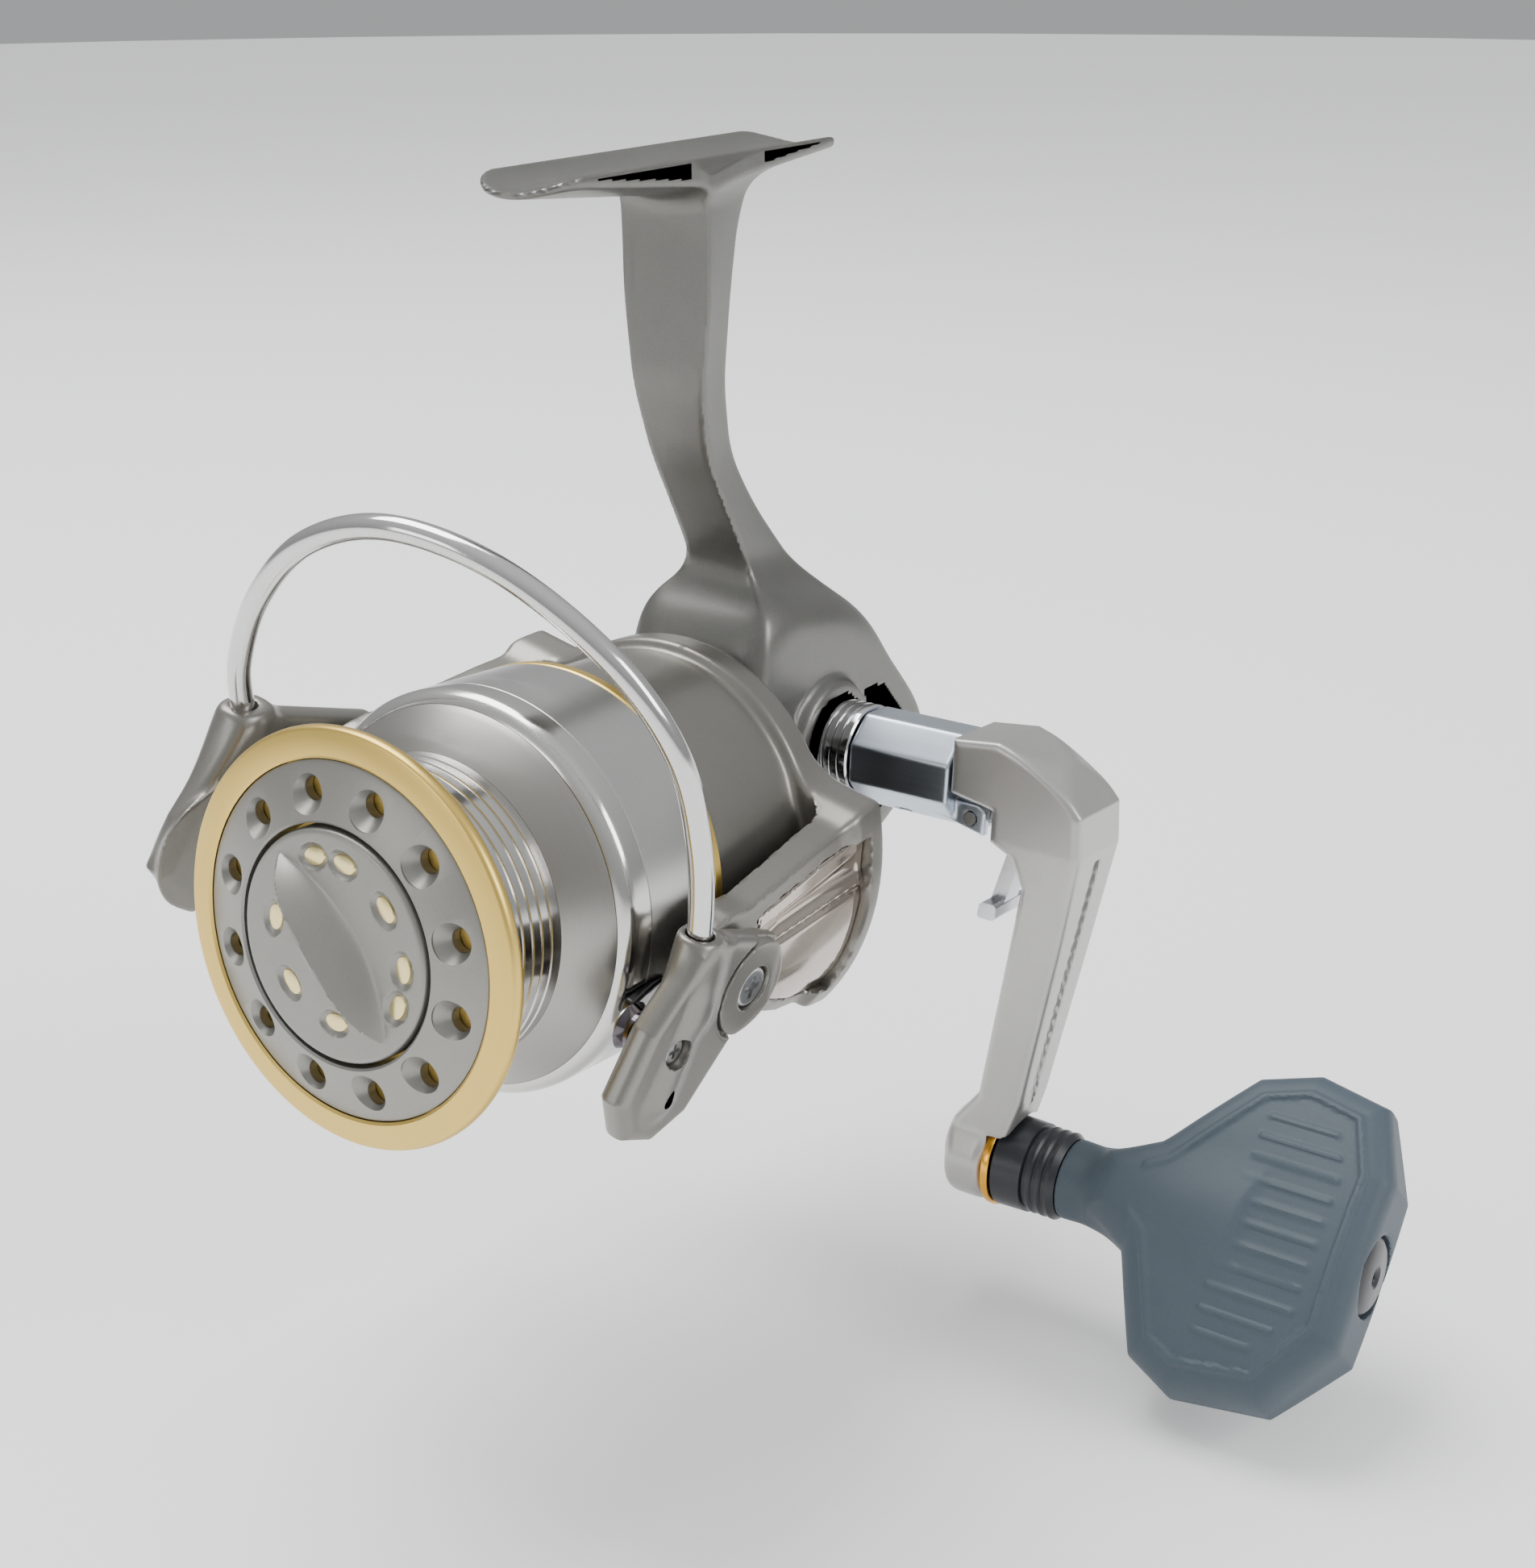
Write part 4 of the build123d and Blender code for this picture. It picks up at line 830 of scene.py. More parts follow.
CLIP_BLACK = Finish("clip_black", (0.014, 0.014, 0.016), (0.008, 0.008, 0.010), 0.0, 0.14, 0.05,
                    Marks.MOULDED, 1500.0, 0.002, coat=0.5)
NYLON = Finish("white_nylon", (0.78, 0.77, 0.72), (0.70, 0.69, 0.64), 0.0, 0.45, 0.06, Marks.MOULDED, 1500.0,
               0.004)
GRIP_RUBBER = Finish("grip_rubber", (0.066, 0.090, 0.112), (0.046, 0.064, 0.082), 0.0, 0.56, 0.10,
                     Marks.MOULDED, 2400.0, 0.020, specular=0.45)
FELT = Finish("dark_felt", (0.06, 0.06, 0.06), (0.03, 0.03, 0.03), 0.0, 0.85, 0.08, Marks.MOULDED, 2600.0,
              0.02)
DARK_ROLLER = Finish("dark_roller", (0.16, 0.145, 0.16), (0.09, 0.08, 0.09), 1.0, 0.12, 0.05, scale=900.0,
                     depth=0.002)
LATCH_SILVER = Finish("latch_silver", (0.70, 0.71, 0.74), (0.58, 0.59, 0.62), 1.0, 0.24, 0.06, Marks.DRAWN,
                      2400.0, 0.003)


def dress(piece: bpy.types.Object, finish: Finish, body: str,
          nodes: Sequence[str]) -> bpy.types.Object:
    """Gives a finished piece its material, its body and the nodes that it stands for.

    Args:
        piece: the piece.
        finish: its finish.
        body: the body that it rides on.
        nodes: the nodes that it stands for.

    Returns:
        The same piece.
    """
    piece.data.materials.clear()
    piece.data.materials.append(finish.material())
    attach(piece, body)
    if nodes:
        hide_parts(*nodes)
    LOG.info("%s rides on %s: %d faces", piece.name, body, len(piece.data.polygons))
    return piece


# ---- geometry nodes -------------------------------------------------------------------------------------
class NodeShape:
    """A geometry node tree with named inputs, baked to a plain mesh."""

    def __init__(self, name: str, inputs: dict[str, tuple[str, object]]) -> None:
        """Starts the tree.

        Args:
            name: the tree's and the piece's name.
            inputs: each input's socket type and value.
        """
        self.name = name
        self.tree = bpy.data.node_groups.new(name, "GeometryNodeTree")
        self.tree.is_modifier = True
        self.tree.interface.new_socket(name="Geometry", in_out="INPUT", socket_type="NodeSocketGeometry")
        self.values = {}
        for label, (kind, value) in inputs.items():
            socket = self.tree.interface.new_socket(name=label, in_out="INPUT", socket_type=kind)
            self.values[socket.identifier] = value
        self.tree.interface.new_socket(name="Geometry", in_out="OUTPUT", socket_type="NodeSocketGeometry")
        self.build = Sockets(self.tree)
        self.given = self.build.add("NodeGroupInput")

    def bake(self, result: bpy.types.NodeSocket, seed: bpy.types.Mesh | None, finish: Finish,
             place: Matrix) -> bpy.types.Object:
        """Ends the tree and turns its result into a plain mesh.

        Args:
            result: the socket with the geometry.
            seed: the mesh that the tree starts from, if any.
            finish: the material that the tree sets.
            place: the matrix from the tree's axes to the row's frame.

        Returns:
            The piece, with no modifier.
        """
        real = self.build.add("GeometryNodeRealizeInstances", {"Geometry": result})
        painted = self.build.add("GeometryNodeSetMaterial", {"Geometry": real.outputs[0]})
        painted.inputs["Material"].default_value = finish.material()
        self.build.add("NodeGroupOutput", {"Geometry": painted.outputs[0]})
        start = seed or bpy.data.meshes.new(self.name + "_start")
        piece = bpy.data.objects.new(self.name, start)
        bpy.context.scene.collection.objects.link(piece)
        modifier = piece.modifiers.new(self.name, "NODES")
        modifier.node_group = self.tree
        for identifier, value in self.values.items():
            modifier[identifier] = value
        finished(piece)
        piece.data.transform(place)
        return piece


def path_mesh(points: Sequence[Sequence[float]]) -> bpy.types.Mesh:
    """An open line of edges through points.

    Args:
        points: the path's points in order.

    Returns:
        The mesh, which has edges and no faces.
    """
    mesh = bpy.data.meshes.new("path")
    mesh.from_pydata([tuple(p) for p in points], [(i, i + 1) for i in range(len(points) - 1)], [])
    return mesh


def swept(name: str, points: Sequence[Sequence[float]], radius: float, finish: Finish, place: Matrix,
          spacing: float = 0.8) -> bpy.types.Object:
    """A round bar along a smooth path through points.

    Args:
        name: the piece's name.
        points: the path's points.
        radius: the bar's radius.
        finish: its finish.
        place: the matrix from the path's axes to the row's frame.
        spacing: the distance between its rings.

    Returns:
        The bar, with closed ends.
    """
    shape = NodeShape(name, {"Radius": ("NodeSocketFloat", radius), "Spacing": ("NodeSocketFloat", spacing)})
    build, given = shape.build, shape.given
    curve = build.add("GeometryNodeMeshToCurve", {"Mesh": given.outputs["Geometry"]})
    smooth = build.add("GeometryNodeCurveSplineType", {"Curve": curve.outputs[0]}, spline_type="CATMULL_ROM")
    fine = build.add("GeometryNodeResampleCurve", {"Curve": smooth.outputs[0],
                                                   "Length": given.outputs["Spacing"]},
                     mode="LENGTH")
    ring = build.add("GeometryNodeCurvePrimitiveCircle", {"Resolution": 28,
                                                          "Radius": given.outputs["Radius"]})
    bar = build.add("GeometryNodeCurveToMesh", {"Curve": fine.outputs[0],
                                                "Profile Curve": ring.outputs["Curve"],
                                                "Fill Caps": True})
    return shape.bake(bar.outputs[0], path_mesh(points), finish, place)


def set_out(name: str, unit: bpy.types.Object, spots: Sequence[tuple[Vector, Vector]], finish: Finish,
            place: Matrix) -> bpy.types.Object:
    """Copies of a unit shape, each at a spot with its Z axis along a direction.

    Args:
        name: the piece's name.
        unit: the shape, drawn about its own Z axis in millimetres; it is used up.
        spots: each copy's place and direction.
        finish: the copies' finish.
        place: the matrix from the spots' axes to the row's frame.

    Returns:
        One piece with all the copies.
    """
    seed = bpy.data.meshes.new("spots")
    seed.from_pydata([tuple(spot) for spot, _ in spots], [], [])
    facing = seed.attributes.new("facing", "FLOAT_VECTOR", "POINT")
    facing.data.foreach_set("vector", [c for _, aim in spots for c in aim])
    shape = NodeShape(name, {"Size": ("NodeSocketFloat", 1.0)})
    build, given = shape.build, shape.given
    part = build.add("GeometryNodeObjectInfo", {"Object": unit})
    aim = build.add("GeometryNodeInputNamedAttribute", {"Name": "facing"}, data_type="FLOAT_VECTOR")
    turn = build.add("FunctionNodeAlignRotationToVector", {"Vector": aim.outputs[0]}, axis="Z")
    scale = build.add("ShaderNodeCombineXYZ", {axis: given.outputs["Size"] for axis in "XYZ"})
    points = build.add("GeometryNodeMeshToPoints", {"Mesh": given.outputs["Geometry"]})
    copies = build.add("GeometryNodeInstanceOnPoints", {
        "Points": points.outputs[0], "Instance": part.outputs["Geometry"], "Rotation": turn.outputs[0],
        "Scale": scale.outputs[0]})
    piece = shape.bake(copies.outputs[0], seed, finish, place)
    bpy.data.objects.remove(unit)
    return piece


# ---- gear case, stem and foot -----------------------------------------------------------------------------
@dataclass
class ReelBody:
    """The casting with its foot, the handle-side cover, the rear cap and what is screwed to them."""

    case_half: float = 12.0
    wall: float = 2.0
    cover_x: float = 4.0
    rear_y: float = 26.0
    seam: float = 0.12
    saddle_r: float = 15.2
    saddle_y: float = -27.5
    saddle_z: float = 91.0
    foot_half_l: float = 33.0
    foot_half_w: float = 7.55
    cap_screw_z: float = -5.0
    case_line: list = field(default_factory=lambda: [
        (-20.0, -17.0), (6.0, -17.0), (25.0, -10.0), (33.0, -2.5), (33.0, 8.0), (24.0, 17.0), (10.0, 29.0),
        (-14.0, 31.5), (-20.0, 24.0)])
    stem_rows: list = field(default_factory=lambda: [  # height, front, rear, half widths in front and behind
        (22.0, -12.5, 15.0, 7.6, 5.6), (30.0, -11.8, 7.5, 6.4, 4.6), (36.0, -12.6, 1.4, 5.5, 3.6),
        (44.0, -18.0, -6.6, 5.2, 3.0), (52.0, -23.3, -12.6, 5.2, 2.6), (62.0, -26.6, -15.0, 6.2, 2.6),
        (74.0, -27.6, -14.6, 7.4, 2.6), (84.0, -28.4, -13.4, 7.5, 2.6), (92.0, -29.8, -10.6, 7.4, 3.4)])
    cover_screws: tuple = ((-9.0, 26.0), (-14.0, -11.0), (21.5, 11.5))

    def stem(self, x: Array, y: Array, z: Array) -> Array:
        """The stem: broad in front, narrow behind, swept forward to the foot.

        Args:
            x, y, z: where to measure, in the reel's axes, mm.

        Returns:
            The signed distance, mm, negative inside.
        """
        rows = np.array(self.stem_rows)
        front, rear, wide, narrow = (eased(z, rows[:, 0], rows[:, i], 7.0) for i in range(1, 5))
        share = np.clip((y - front) / (rear - front), -0.2, 1.2)
        side = np.abs(x) - wide - (narrow - wide) * share
        solid = common(common(front - y, side, 1.1), y - rear, 4.0)
        return common(solid, span(z, rows[0, 0], rows[-1, 0]))

    def foot(self, x: Array, y: Array, z: Array) -> Array:
        """The foot in the row's axes: a thin trough for the rod with rounded tips.

        Args:
            x, y, z: where to measure, in the row's axes, mm.

        Returns:
            The signed distance, mm, negative inside.
        """
        thick = 0.75 + 2.9 * np.clip(1.0 - np.abs(y) / (self.foot_half_l + 1.0), 0.0, 1.0)
        away = np.hypot(x, z - self.saddle_r)
        shell = common(away - self.saddle_r - thick, self.saddle_r - away, 0.5)
        corner = 6.6
        qx = np.maximum(np.abs(x) - self.foot_half_w + corner, 0.0)
        qy = np.maximum(np.abs(y) - self.foot_half_l + corner, 0.0)
        plan = np.hypot(qx, qy) - corner
        return common(common(shell, plan, 0.6), z - 2.0, 0.4)

    def case(self, x: Array, y: Array, z: Array) -> Array:
        """The gear case with the rotor's neck and the bosses of the drive shaft.

        Args:
            x, y, z: where to measure, in the reel's axes, mm.

        Returns:
            The signed distance, mm, negative inside.
        """
        box = plate(convex(y, z, self.case_line, 5.0), x, -self.case_half, self.case_half, 5.5)
        neck = common(disc(x, z, 14.0), span(y, -36.0, 0.0), 0.5)
        step = common(disc(x, z, 18.5), span(y, -21.5, -10.0), 0.8)
        boss = common(disc(y, z, 9.6, (0.0, AXES.crank_z)), span(x, -14.0, 14.0), 1.4)
        return join(join(join(box, step, 1.0), neck, 1.6), boss, 1.6)

    def ears(self, x: Array, y: Array, z: Array) -> Array:
        """The two ears under the case for the anti-reverse lever.

        Args:
            x, y, z: where to measure, in the reel's axes, mm.

        Returns:
            The signed distance, mm, negative inside.
        """
        line = [(4.4, -14.8), (11.6, -13.0), (10.4, -21.6), (5.8, -22.0)]
        shape = plate(convex(y, z, line, 1.6), np.abs(x), 2.7, 3.9, 0.4)
        return without(shape, disc(y, z, 1.05, (8.0, -20.4)))

    def outside(self, x: Array, y: Array, z: Array) -> Array:
        """The whole casting in the row's axes, before it is hollowed or split.

        Args:
            x, y, z: where to measure, in the row's axes, mm.

        Returns:
            The signed distance, mm, negative inside.
        """
        cp, sp = math.cos(AXES.pitch), math.sin(AXES.pitch)
        reel_y = self.saddle_y + y * cp - z * sp
        reel_z = self.saddle_z + y * sp + z * cp
        solid = join(self.case(x, reel_y, reel_z), self.stem(x, reel_y, reel_z), 7.0)
        saddle = self.saddle_r - np.hypot(x, z - self.saddle_r)
        solid = join(common(common(solid, saddle), z + 1.2), self.foot(x, y, z), 3.0)
        solid = common(common(solid, saddle, 0.2), z - 1.9)
        return join(solid, self.ears(x, reel_y, reel_z), 0.8)

    def room(self, x: Array, y: Array, z: Array) -> Array:
        """The gear room and the tail under the rear cap, an even wall inside the case.

        Args:
            x, y, z: where to measure, in the reel's axes, mm.

        Returns:
            The signed distance, mm, negative inside.
        """
        inner = plate(convex(y, z, self.case_line, 5.0), x, -self.case_half, self.case_half, 5.5) + self.wall
        front = common(inner, span(y, -17.6, self.rear_y - self.wall), 0.4)
        return join(front, common(inner, self.rear_y + 1.6 - y, 0.4))

    def rooms(self) -> list[bpy.types.Object]:
        """Tools that hollow the casting: the gear room and tail, the neck's bores and the shaft's bore.

        Returns:
            The tools.
        """
        grid = (steps((-11.0, 11.0, 0.6)), steps((-19.0, 32.6, 0.6)), steps((-16.0, 31.0, 0.6)))
        bores = lathe("bores", [(0, -40), (10.1, -40), (10.1, -25.2), (9.1, -25.2), (9.1, -20.4), (5.0,
                                                                                                   -20.4),
                                (5.0, -15), (0, -15)], REEL, around=72)
        shaft = lathe("shaft_bore", [(0, -15), (6.1, -15), (6.1, 15), (0, 15)],
                      AXES.raised(0, 0, AXES.crank_z), axis="X", around=72)
        return [make("room", *skin(self.room, grid, 1), REEL), bores, shaft]

    def screw_holes(self) -> list[bpy.types.Object]:
        """Tools for the half-round recesses of the screws.

        Returns:
            The tools.
        """
        tools = [lathe("hole", [(0, 10.6), (2.7, 10.6), (2.9, 16), (0, 16)], AXES.raised(0, y, z), "X", 48)
                 for y, z in self.cover_screws]
        tools.append(lathe("cap_hole", [(0, 30.6), (2.2, 30.6), (2.2, 40), (0, 40)],
                           AXES.raised(0, 0, self.cap_screw_z), "Y", 48))
        return tools

    def cover_zone(self, grow: float) -> bpy.types.Object:
        """The block of the case that the handle-side cover takes up.

        Args:
            grow: how far the block stands out past the cover, mm.

        Returns:
            The block.
        """
        low, high = -19.0 - grow, self.rear_y - self.seam + grow
        top = 31.0 + grow
        line = rounded([(low, -26), (high, -26), (high, top - 3), (low, top)], 1.5)
        return prism("cover_zone", line, self.cover_x - grow, 20, REEL)

    def foot_marks(self) -> list[bpy.types.Object]:
        """The three curved grip marks at each end of the foot and the groove along its middle.

        Returns:
            The tools.
        """
        tools = []
        for end in (-1, 1):
            for i in range(3):
                y = end * (self.foot_half_l - 2.9 - 2.2 * i)
                start = 55 if end > 0 else -125
                line = arc(4.3, start, start + 70, 14) + arc(3.75, start + 70, start, 14)
                line = [(u, v + y - end * 3.2) for u, v in line]
                tools.append(prism("mark", line, 0.1 if i else 0.14, 3.0, ROW, "Z"))
        for tool in tools:
            tool.data.transform(Matrix.Translation((0, 0, -0.34 * MM)))
        reach = self.foot_half_l - 9.6
        line = rounded([(-0.45, -reach), (0.45, -reach), (0.45, reach - 0.6), (-0.45, reach - 0.6)], 0.44)
        tools.append(prism("relief", line, -0.55, 3.0, ROW, "Z"))
        return tools

    def build(self) -> None:
        """Builds the casting, the cover and the cap, and the screws that hold them."""
        grid = (steps((-14.8, 14.8, 0.5)), steps((-34.2, 54.6, 0.55)),
                steps((-118.0, -7.0, 0.6), (-7.0, 2.6, 0.28)))
        whole = make("reel_casting", *skin(self.outside, grid), ROW)
        for tool in self.rooms() + self.screw_holes() + self.foot_marks():
            outwards(tool)
            cut(whole, tool)
        cover, cap = whole.copy(), whole.copy()
        for piece, name in ((cover, "side_cover_shell"), (cap, "rear_cap_shell")):
            piece.data = whole.data.copy()
            piece.name = name
            bpy.context.scene.collection.objects.link(piece)
        cut(whole, self.cover_zone(self.seam))
        cut(whole, prism("cap_zone", [(self.rear_y, -40), (60, -40), (60, 60), (self.rear_y, 60)], -30, 30,
                         REEL))
        cut(cover, self.cover_zone(0.0), "INTERSECT")
        start = self.rear_y + self.seam
        cut(cap, prism("cap_zone", [(start, -40), (60, -40), (60, 60), (start, 60)], -30, 30, REEL),
            "INTERSECT")
        dress(whole, CASE_PAINT, "reel_body", ["frame_housing"])
        dress(cover, CASE_PAINT, "reel_body", ["side_cover"])
        dress(cap, CASE_PAINT, "reel_body", ["rear_cap"])
        self.dust_cap()
        self.screws()

    def dust_cap(self) -> None:
        """The knurled screw-in cap over the far end of the drive shaft."""
        place = AXES.raised(0, 0, AXES.crank_z)
        line = [(0, -18.2), (5.4, -18.2), (7.2, -17.6), (8.4, -16.0), (8.4, -14.2), (5.9, -14.2), (5.9,
                                                                                                   -12.2),
                (4.6, -12.2), (4.6, -16.6), (0, -16.6)]
        cap = eased_edges(lathe("dust_cap", line, place, "X"), 0.2)
        notches = [prism("notch", [(-0.4, 7.9), (0.4, 7.9), (0.4, 9.0), (-0.4, 9.0)], -16.4, -14.0,
                         AXES.raised(0, 0, AXES.crank_z, 2 * math.pi * i / 20)) for i in range(20)]
        coin = prism("coin", rounded([(-4.4, -0.7), (4.4, -0.7), (4.4, 0.7), (-4.4, 0.7)], 0.6), -19, -17.5,
                     place)
        cut(cap, merged("notches", notches + [coin]))
        dress(cap, CASE_PAINT, "reel_body", ["left_shaft_cap"])

    def screws(self) -> None:
        """The cross-head screws of the cover and the rear cap, and those of the clutch plate."""
        spots = [(Vector((10.7, y, z)), Vector((1, 0, 0))) for y, z in self.cover_screws]
        spots.append((Vector((0, 30.7, self.cap_screw_z)), Vector((0, 1, 0))))
        for turn in (30, 150, 270):
            x, z = 12.0 * math.cos(math.radians(turn)), -12.0 * math.sin(math.radians(turn))
            spots.append((Vector((x, -37.45, z)), Vector((0, -1, 0))))
        piece = set_out("case_screw_set", cross_screw(2.0, 1.1, 0.85, 5.0), spots, STEEL, REEL)
        dress(piece, STEEL, "reel_body", ["case_screws"])


def cross_screw(head: float, height: float, shank: float, length: float) -> bpy.types.Object:
    """A cross-head screw about its own Z axis, its head above the origin, in millimetres.

    Args:
        head: the head's radius.
        height: the head's height.
        shank: the shank's radius.
        length: the shank's length.

    Returns:
        The screw.
    """
    upright = Matrix.Rotation(math.radians(90), 4, "Y")
    line = [(0, height), (head * 0.5, height * 0.96), (head * 0.86, height * 0.72), (head, height * 0.3),
            (head, 0), (shank, 0), (shank, -length), (0, -length)]
    screw = lathe("cross_screw", [(r, -a) for r, a in line], upright, "X", 32)
    outwards(screw)
    long, narrow = head * 0.62, head * 0.15
    cross = [(-narrow, -long), (narrow, -long), (narrow, -narrow), (long, -narrow), (long, narrow),
             (narrow, narrow), (narrow, long), (-narrow, long), (-narrow, narrow), (-long, narrow),
             (-long, -narrow), (-narrow, -narrow)]
    cut(screw, prism("cross", cross, height * 0.25, height * 2, Matrix.Identity(4), "Z"))
    return screw


# ---- rotor and bail ---------------------------------------------------------------------------------------
@dataclass
class Rotor:
    """The rotor's cup with its rim and arms, and the covers of the arms."""

    drum_r: float = 25.0
    front: float = -50.5
    rear: float = -20.5
    arm_in: float = 29.4
    arm_out: float = 33.5
    pivot_y: float = -55.0
    pivot_z: float = 2.0
    edge: float = 2.3

    def arm_plan(self, y: Array, z: Array) -> Array:
        """The arm's outline, seen from the side.

        Args:
            y, z: where to measure, in the rotor's axes, mm.

        Returns:
            The signed distance, mm, negative inside.
        """
        line = [(self.rear, -15.0), (self.rear, 15.0), (-34.0, 12.8), (self.pivot_y + 1.0,
                                                                       self.pivot_z + 6.6),
                (self.pivot_y + 1.0, self.pivot_z - 6.6), (-34.0, -12.8)]
        return join(polygon(y, z, line), disc(y, z, 7.0, (self.pivot_y, self.pivot_z)), 2.5)

    def solid(self, x: Array, y: Array, z: Array) -> Array:
        """The rotor in one piece, in its own axes.

        Args:
            x, y, z: where to measure, in the rotor's axes, mm.

        Returns:
            The signed distance, mm, negative inside.
        """
        r = np.hypot(x, z)
        drum = plate(span(r, self.drum_r - 2.0, self.drum_r), y, self.front, self.rear, 0.5)
        web = plate(span(r, 3.55, self.drum_r - 1.0), y, -42.6, -39.8, 0.5)
        turn = np.round(np.arctan2(z, x) / (math.pi / 3)) * (math.pi / 3)
        window = disc(x * np.cos(turn) + z * np.sin(turn), z * np.cos(turn) - x * np.sin(turn), 4.4, (15.8,
                                                                                                      0.0))
        web = join(without(web, window, 0.4), plate(span(r, 3.55, 7.5), y, -45.4, -40.0, 0.4), 0.8)
        rim = plate(span(r, self.drum_r - 1.0, 26.5), y, -25.6, self.rear, 0.9)
        cup = join(join(drum, web, 1.2), rim, 1.2)
        side = np.abs(x)
        plan = self.arm_plan(y, z)
        arm = plate(common(plan, span(r, self.arm_in, self.arm_out), 0.5), x * x, 100.0, 1e6, 0.0)
        root = common(span(r, self.drum_r - 1.5, self.arm_out), common(span(y, -24.6, self.rear), plan,
                                                                       2.0), 0.9)
        arm = join(arm, common(root, 10.0 - side), 5.0)
        slot = common(common(plan + self.edge, 31.0 - r, 0.3), span(y, -48.4, -22.4), 0.3)
        arm = without(arm, common(slot, 10.0 - side), 0.2)
        arm = without(arm, common(disc(y, z, 1.5, (self.pivot_y, self.pivot_z)), 10.0 - side))
        return join(cup, common(arm, 10.0 - side), 3.0)

    def cover(self, x: Array, y: Array, z: Array) -> Array:
        """The outer cover of an arm: a polished scoop along its top edge, a fold and a swelling panel.

        Args:
            x, y, z: where to measure, in the rotor's axes, mm.

        Returns:
            The signed distance, mm, negative inside.
        """
        r = np.hypot(x, z)
        plan = self.arm_plan(y, z) + self.edge + 0.12
        top = eased(y, (-62.0, -50.0, -34.0, -20.0), (6.0, 7.6, 10.6, 13.2), 6.0) - self.edge
        down = top - z
        fold = eased(y, (-62.0, -48.0, -32.0, -22.0), (2.2, 2.6, 3.6, 4.4), 5.0)
        scoop = -0.55 * np.sin(np.clip(down / fold, 0.0, 1.0) * math.pi)
        crest = 0.45 * np.exp(-((down - fold * 0.98) / 0.6) ** 2)
        groove = -0.6 * np.exp(-((down - fold - 1.5) / 0.42) ** 2)
        swell = 0.45 * np.sin(np.clip((down - fold - 1.4) / 17.0, 0.0, 1.0) * math.pi)
        ends = np.clip((y + 49.0) / 6.0, 0.0, 1.0) * np.clip((-21.6 - y) / 3.0, 0.0, 1.0)
        outer = self.arm_out - 0.1 + (scoop + crest + groove) * ends + swell * ends
        shell = common(common(r - outer, x - 33.85, 0.2), 31.2 - r)
        return common(common(shell, plan, 0.35), span(y, -48.2, -22.6), 0.35)

    def build(self) -> None:
        """Builds the rotor and the covers, and the rotor nut."""
        grid = (steps((-35.2, 35.2, 0.5)), steps((-63.0, -19.8, 0.5)), steps((-27.6, 27.6, 0.5)))
        rotor = make("rotor_cup", *skin(self.solid, grid), ROTOR)
        dress(rotor, ROTOR_PAINT, "rotor", ["rotor"])
        fine = (steps((24.0, 35.6, 0.35)), steps((-49.4, -21.6, 0.3)), steps((-14.0, 14.0, 0.25)))
        points, faces = skin(self.cover, fine)
        near = make("right_arm_shell", points, faces, ROTOR)
        dress(near, BRONZE_MIRROR, "rotor", ["right_arm_cover"])
        far = make("left_arm_shell", points * np.array((-1.0, 1.0, 1.0)), faces[:, ::-1], ROTOR)
        dress(far, BRONZE_MIRROR, "rotor", ["left_arm_cover"])
        self.nut()

    def nut(self) -> None:
        """The rotor nut with chamfered corners."""
        hexagon = arc(6.4, 0, 300, 6)
        nut = prism("rotor_hex_nut", [(u, v) for u, v in hexagon], -49.0, -45.6, REEL, "Y")
        cut(nut, lathe("bore", [(0, -60), (3.6, -60), (3.6, -40), (0, -40)], REEL, around=48))
        eased_edges(nut, 0.3)
        dress(nut, BRASS, "rotor", ["rotor_nut"])


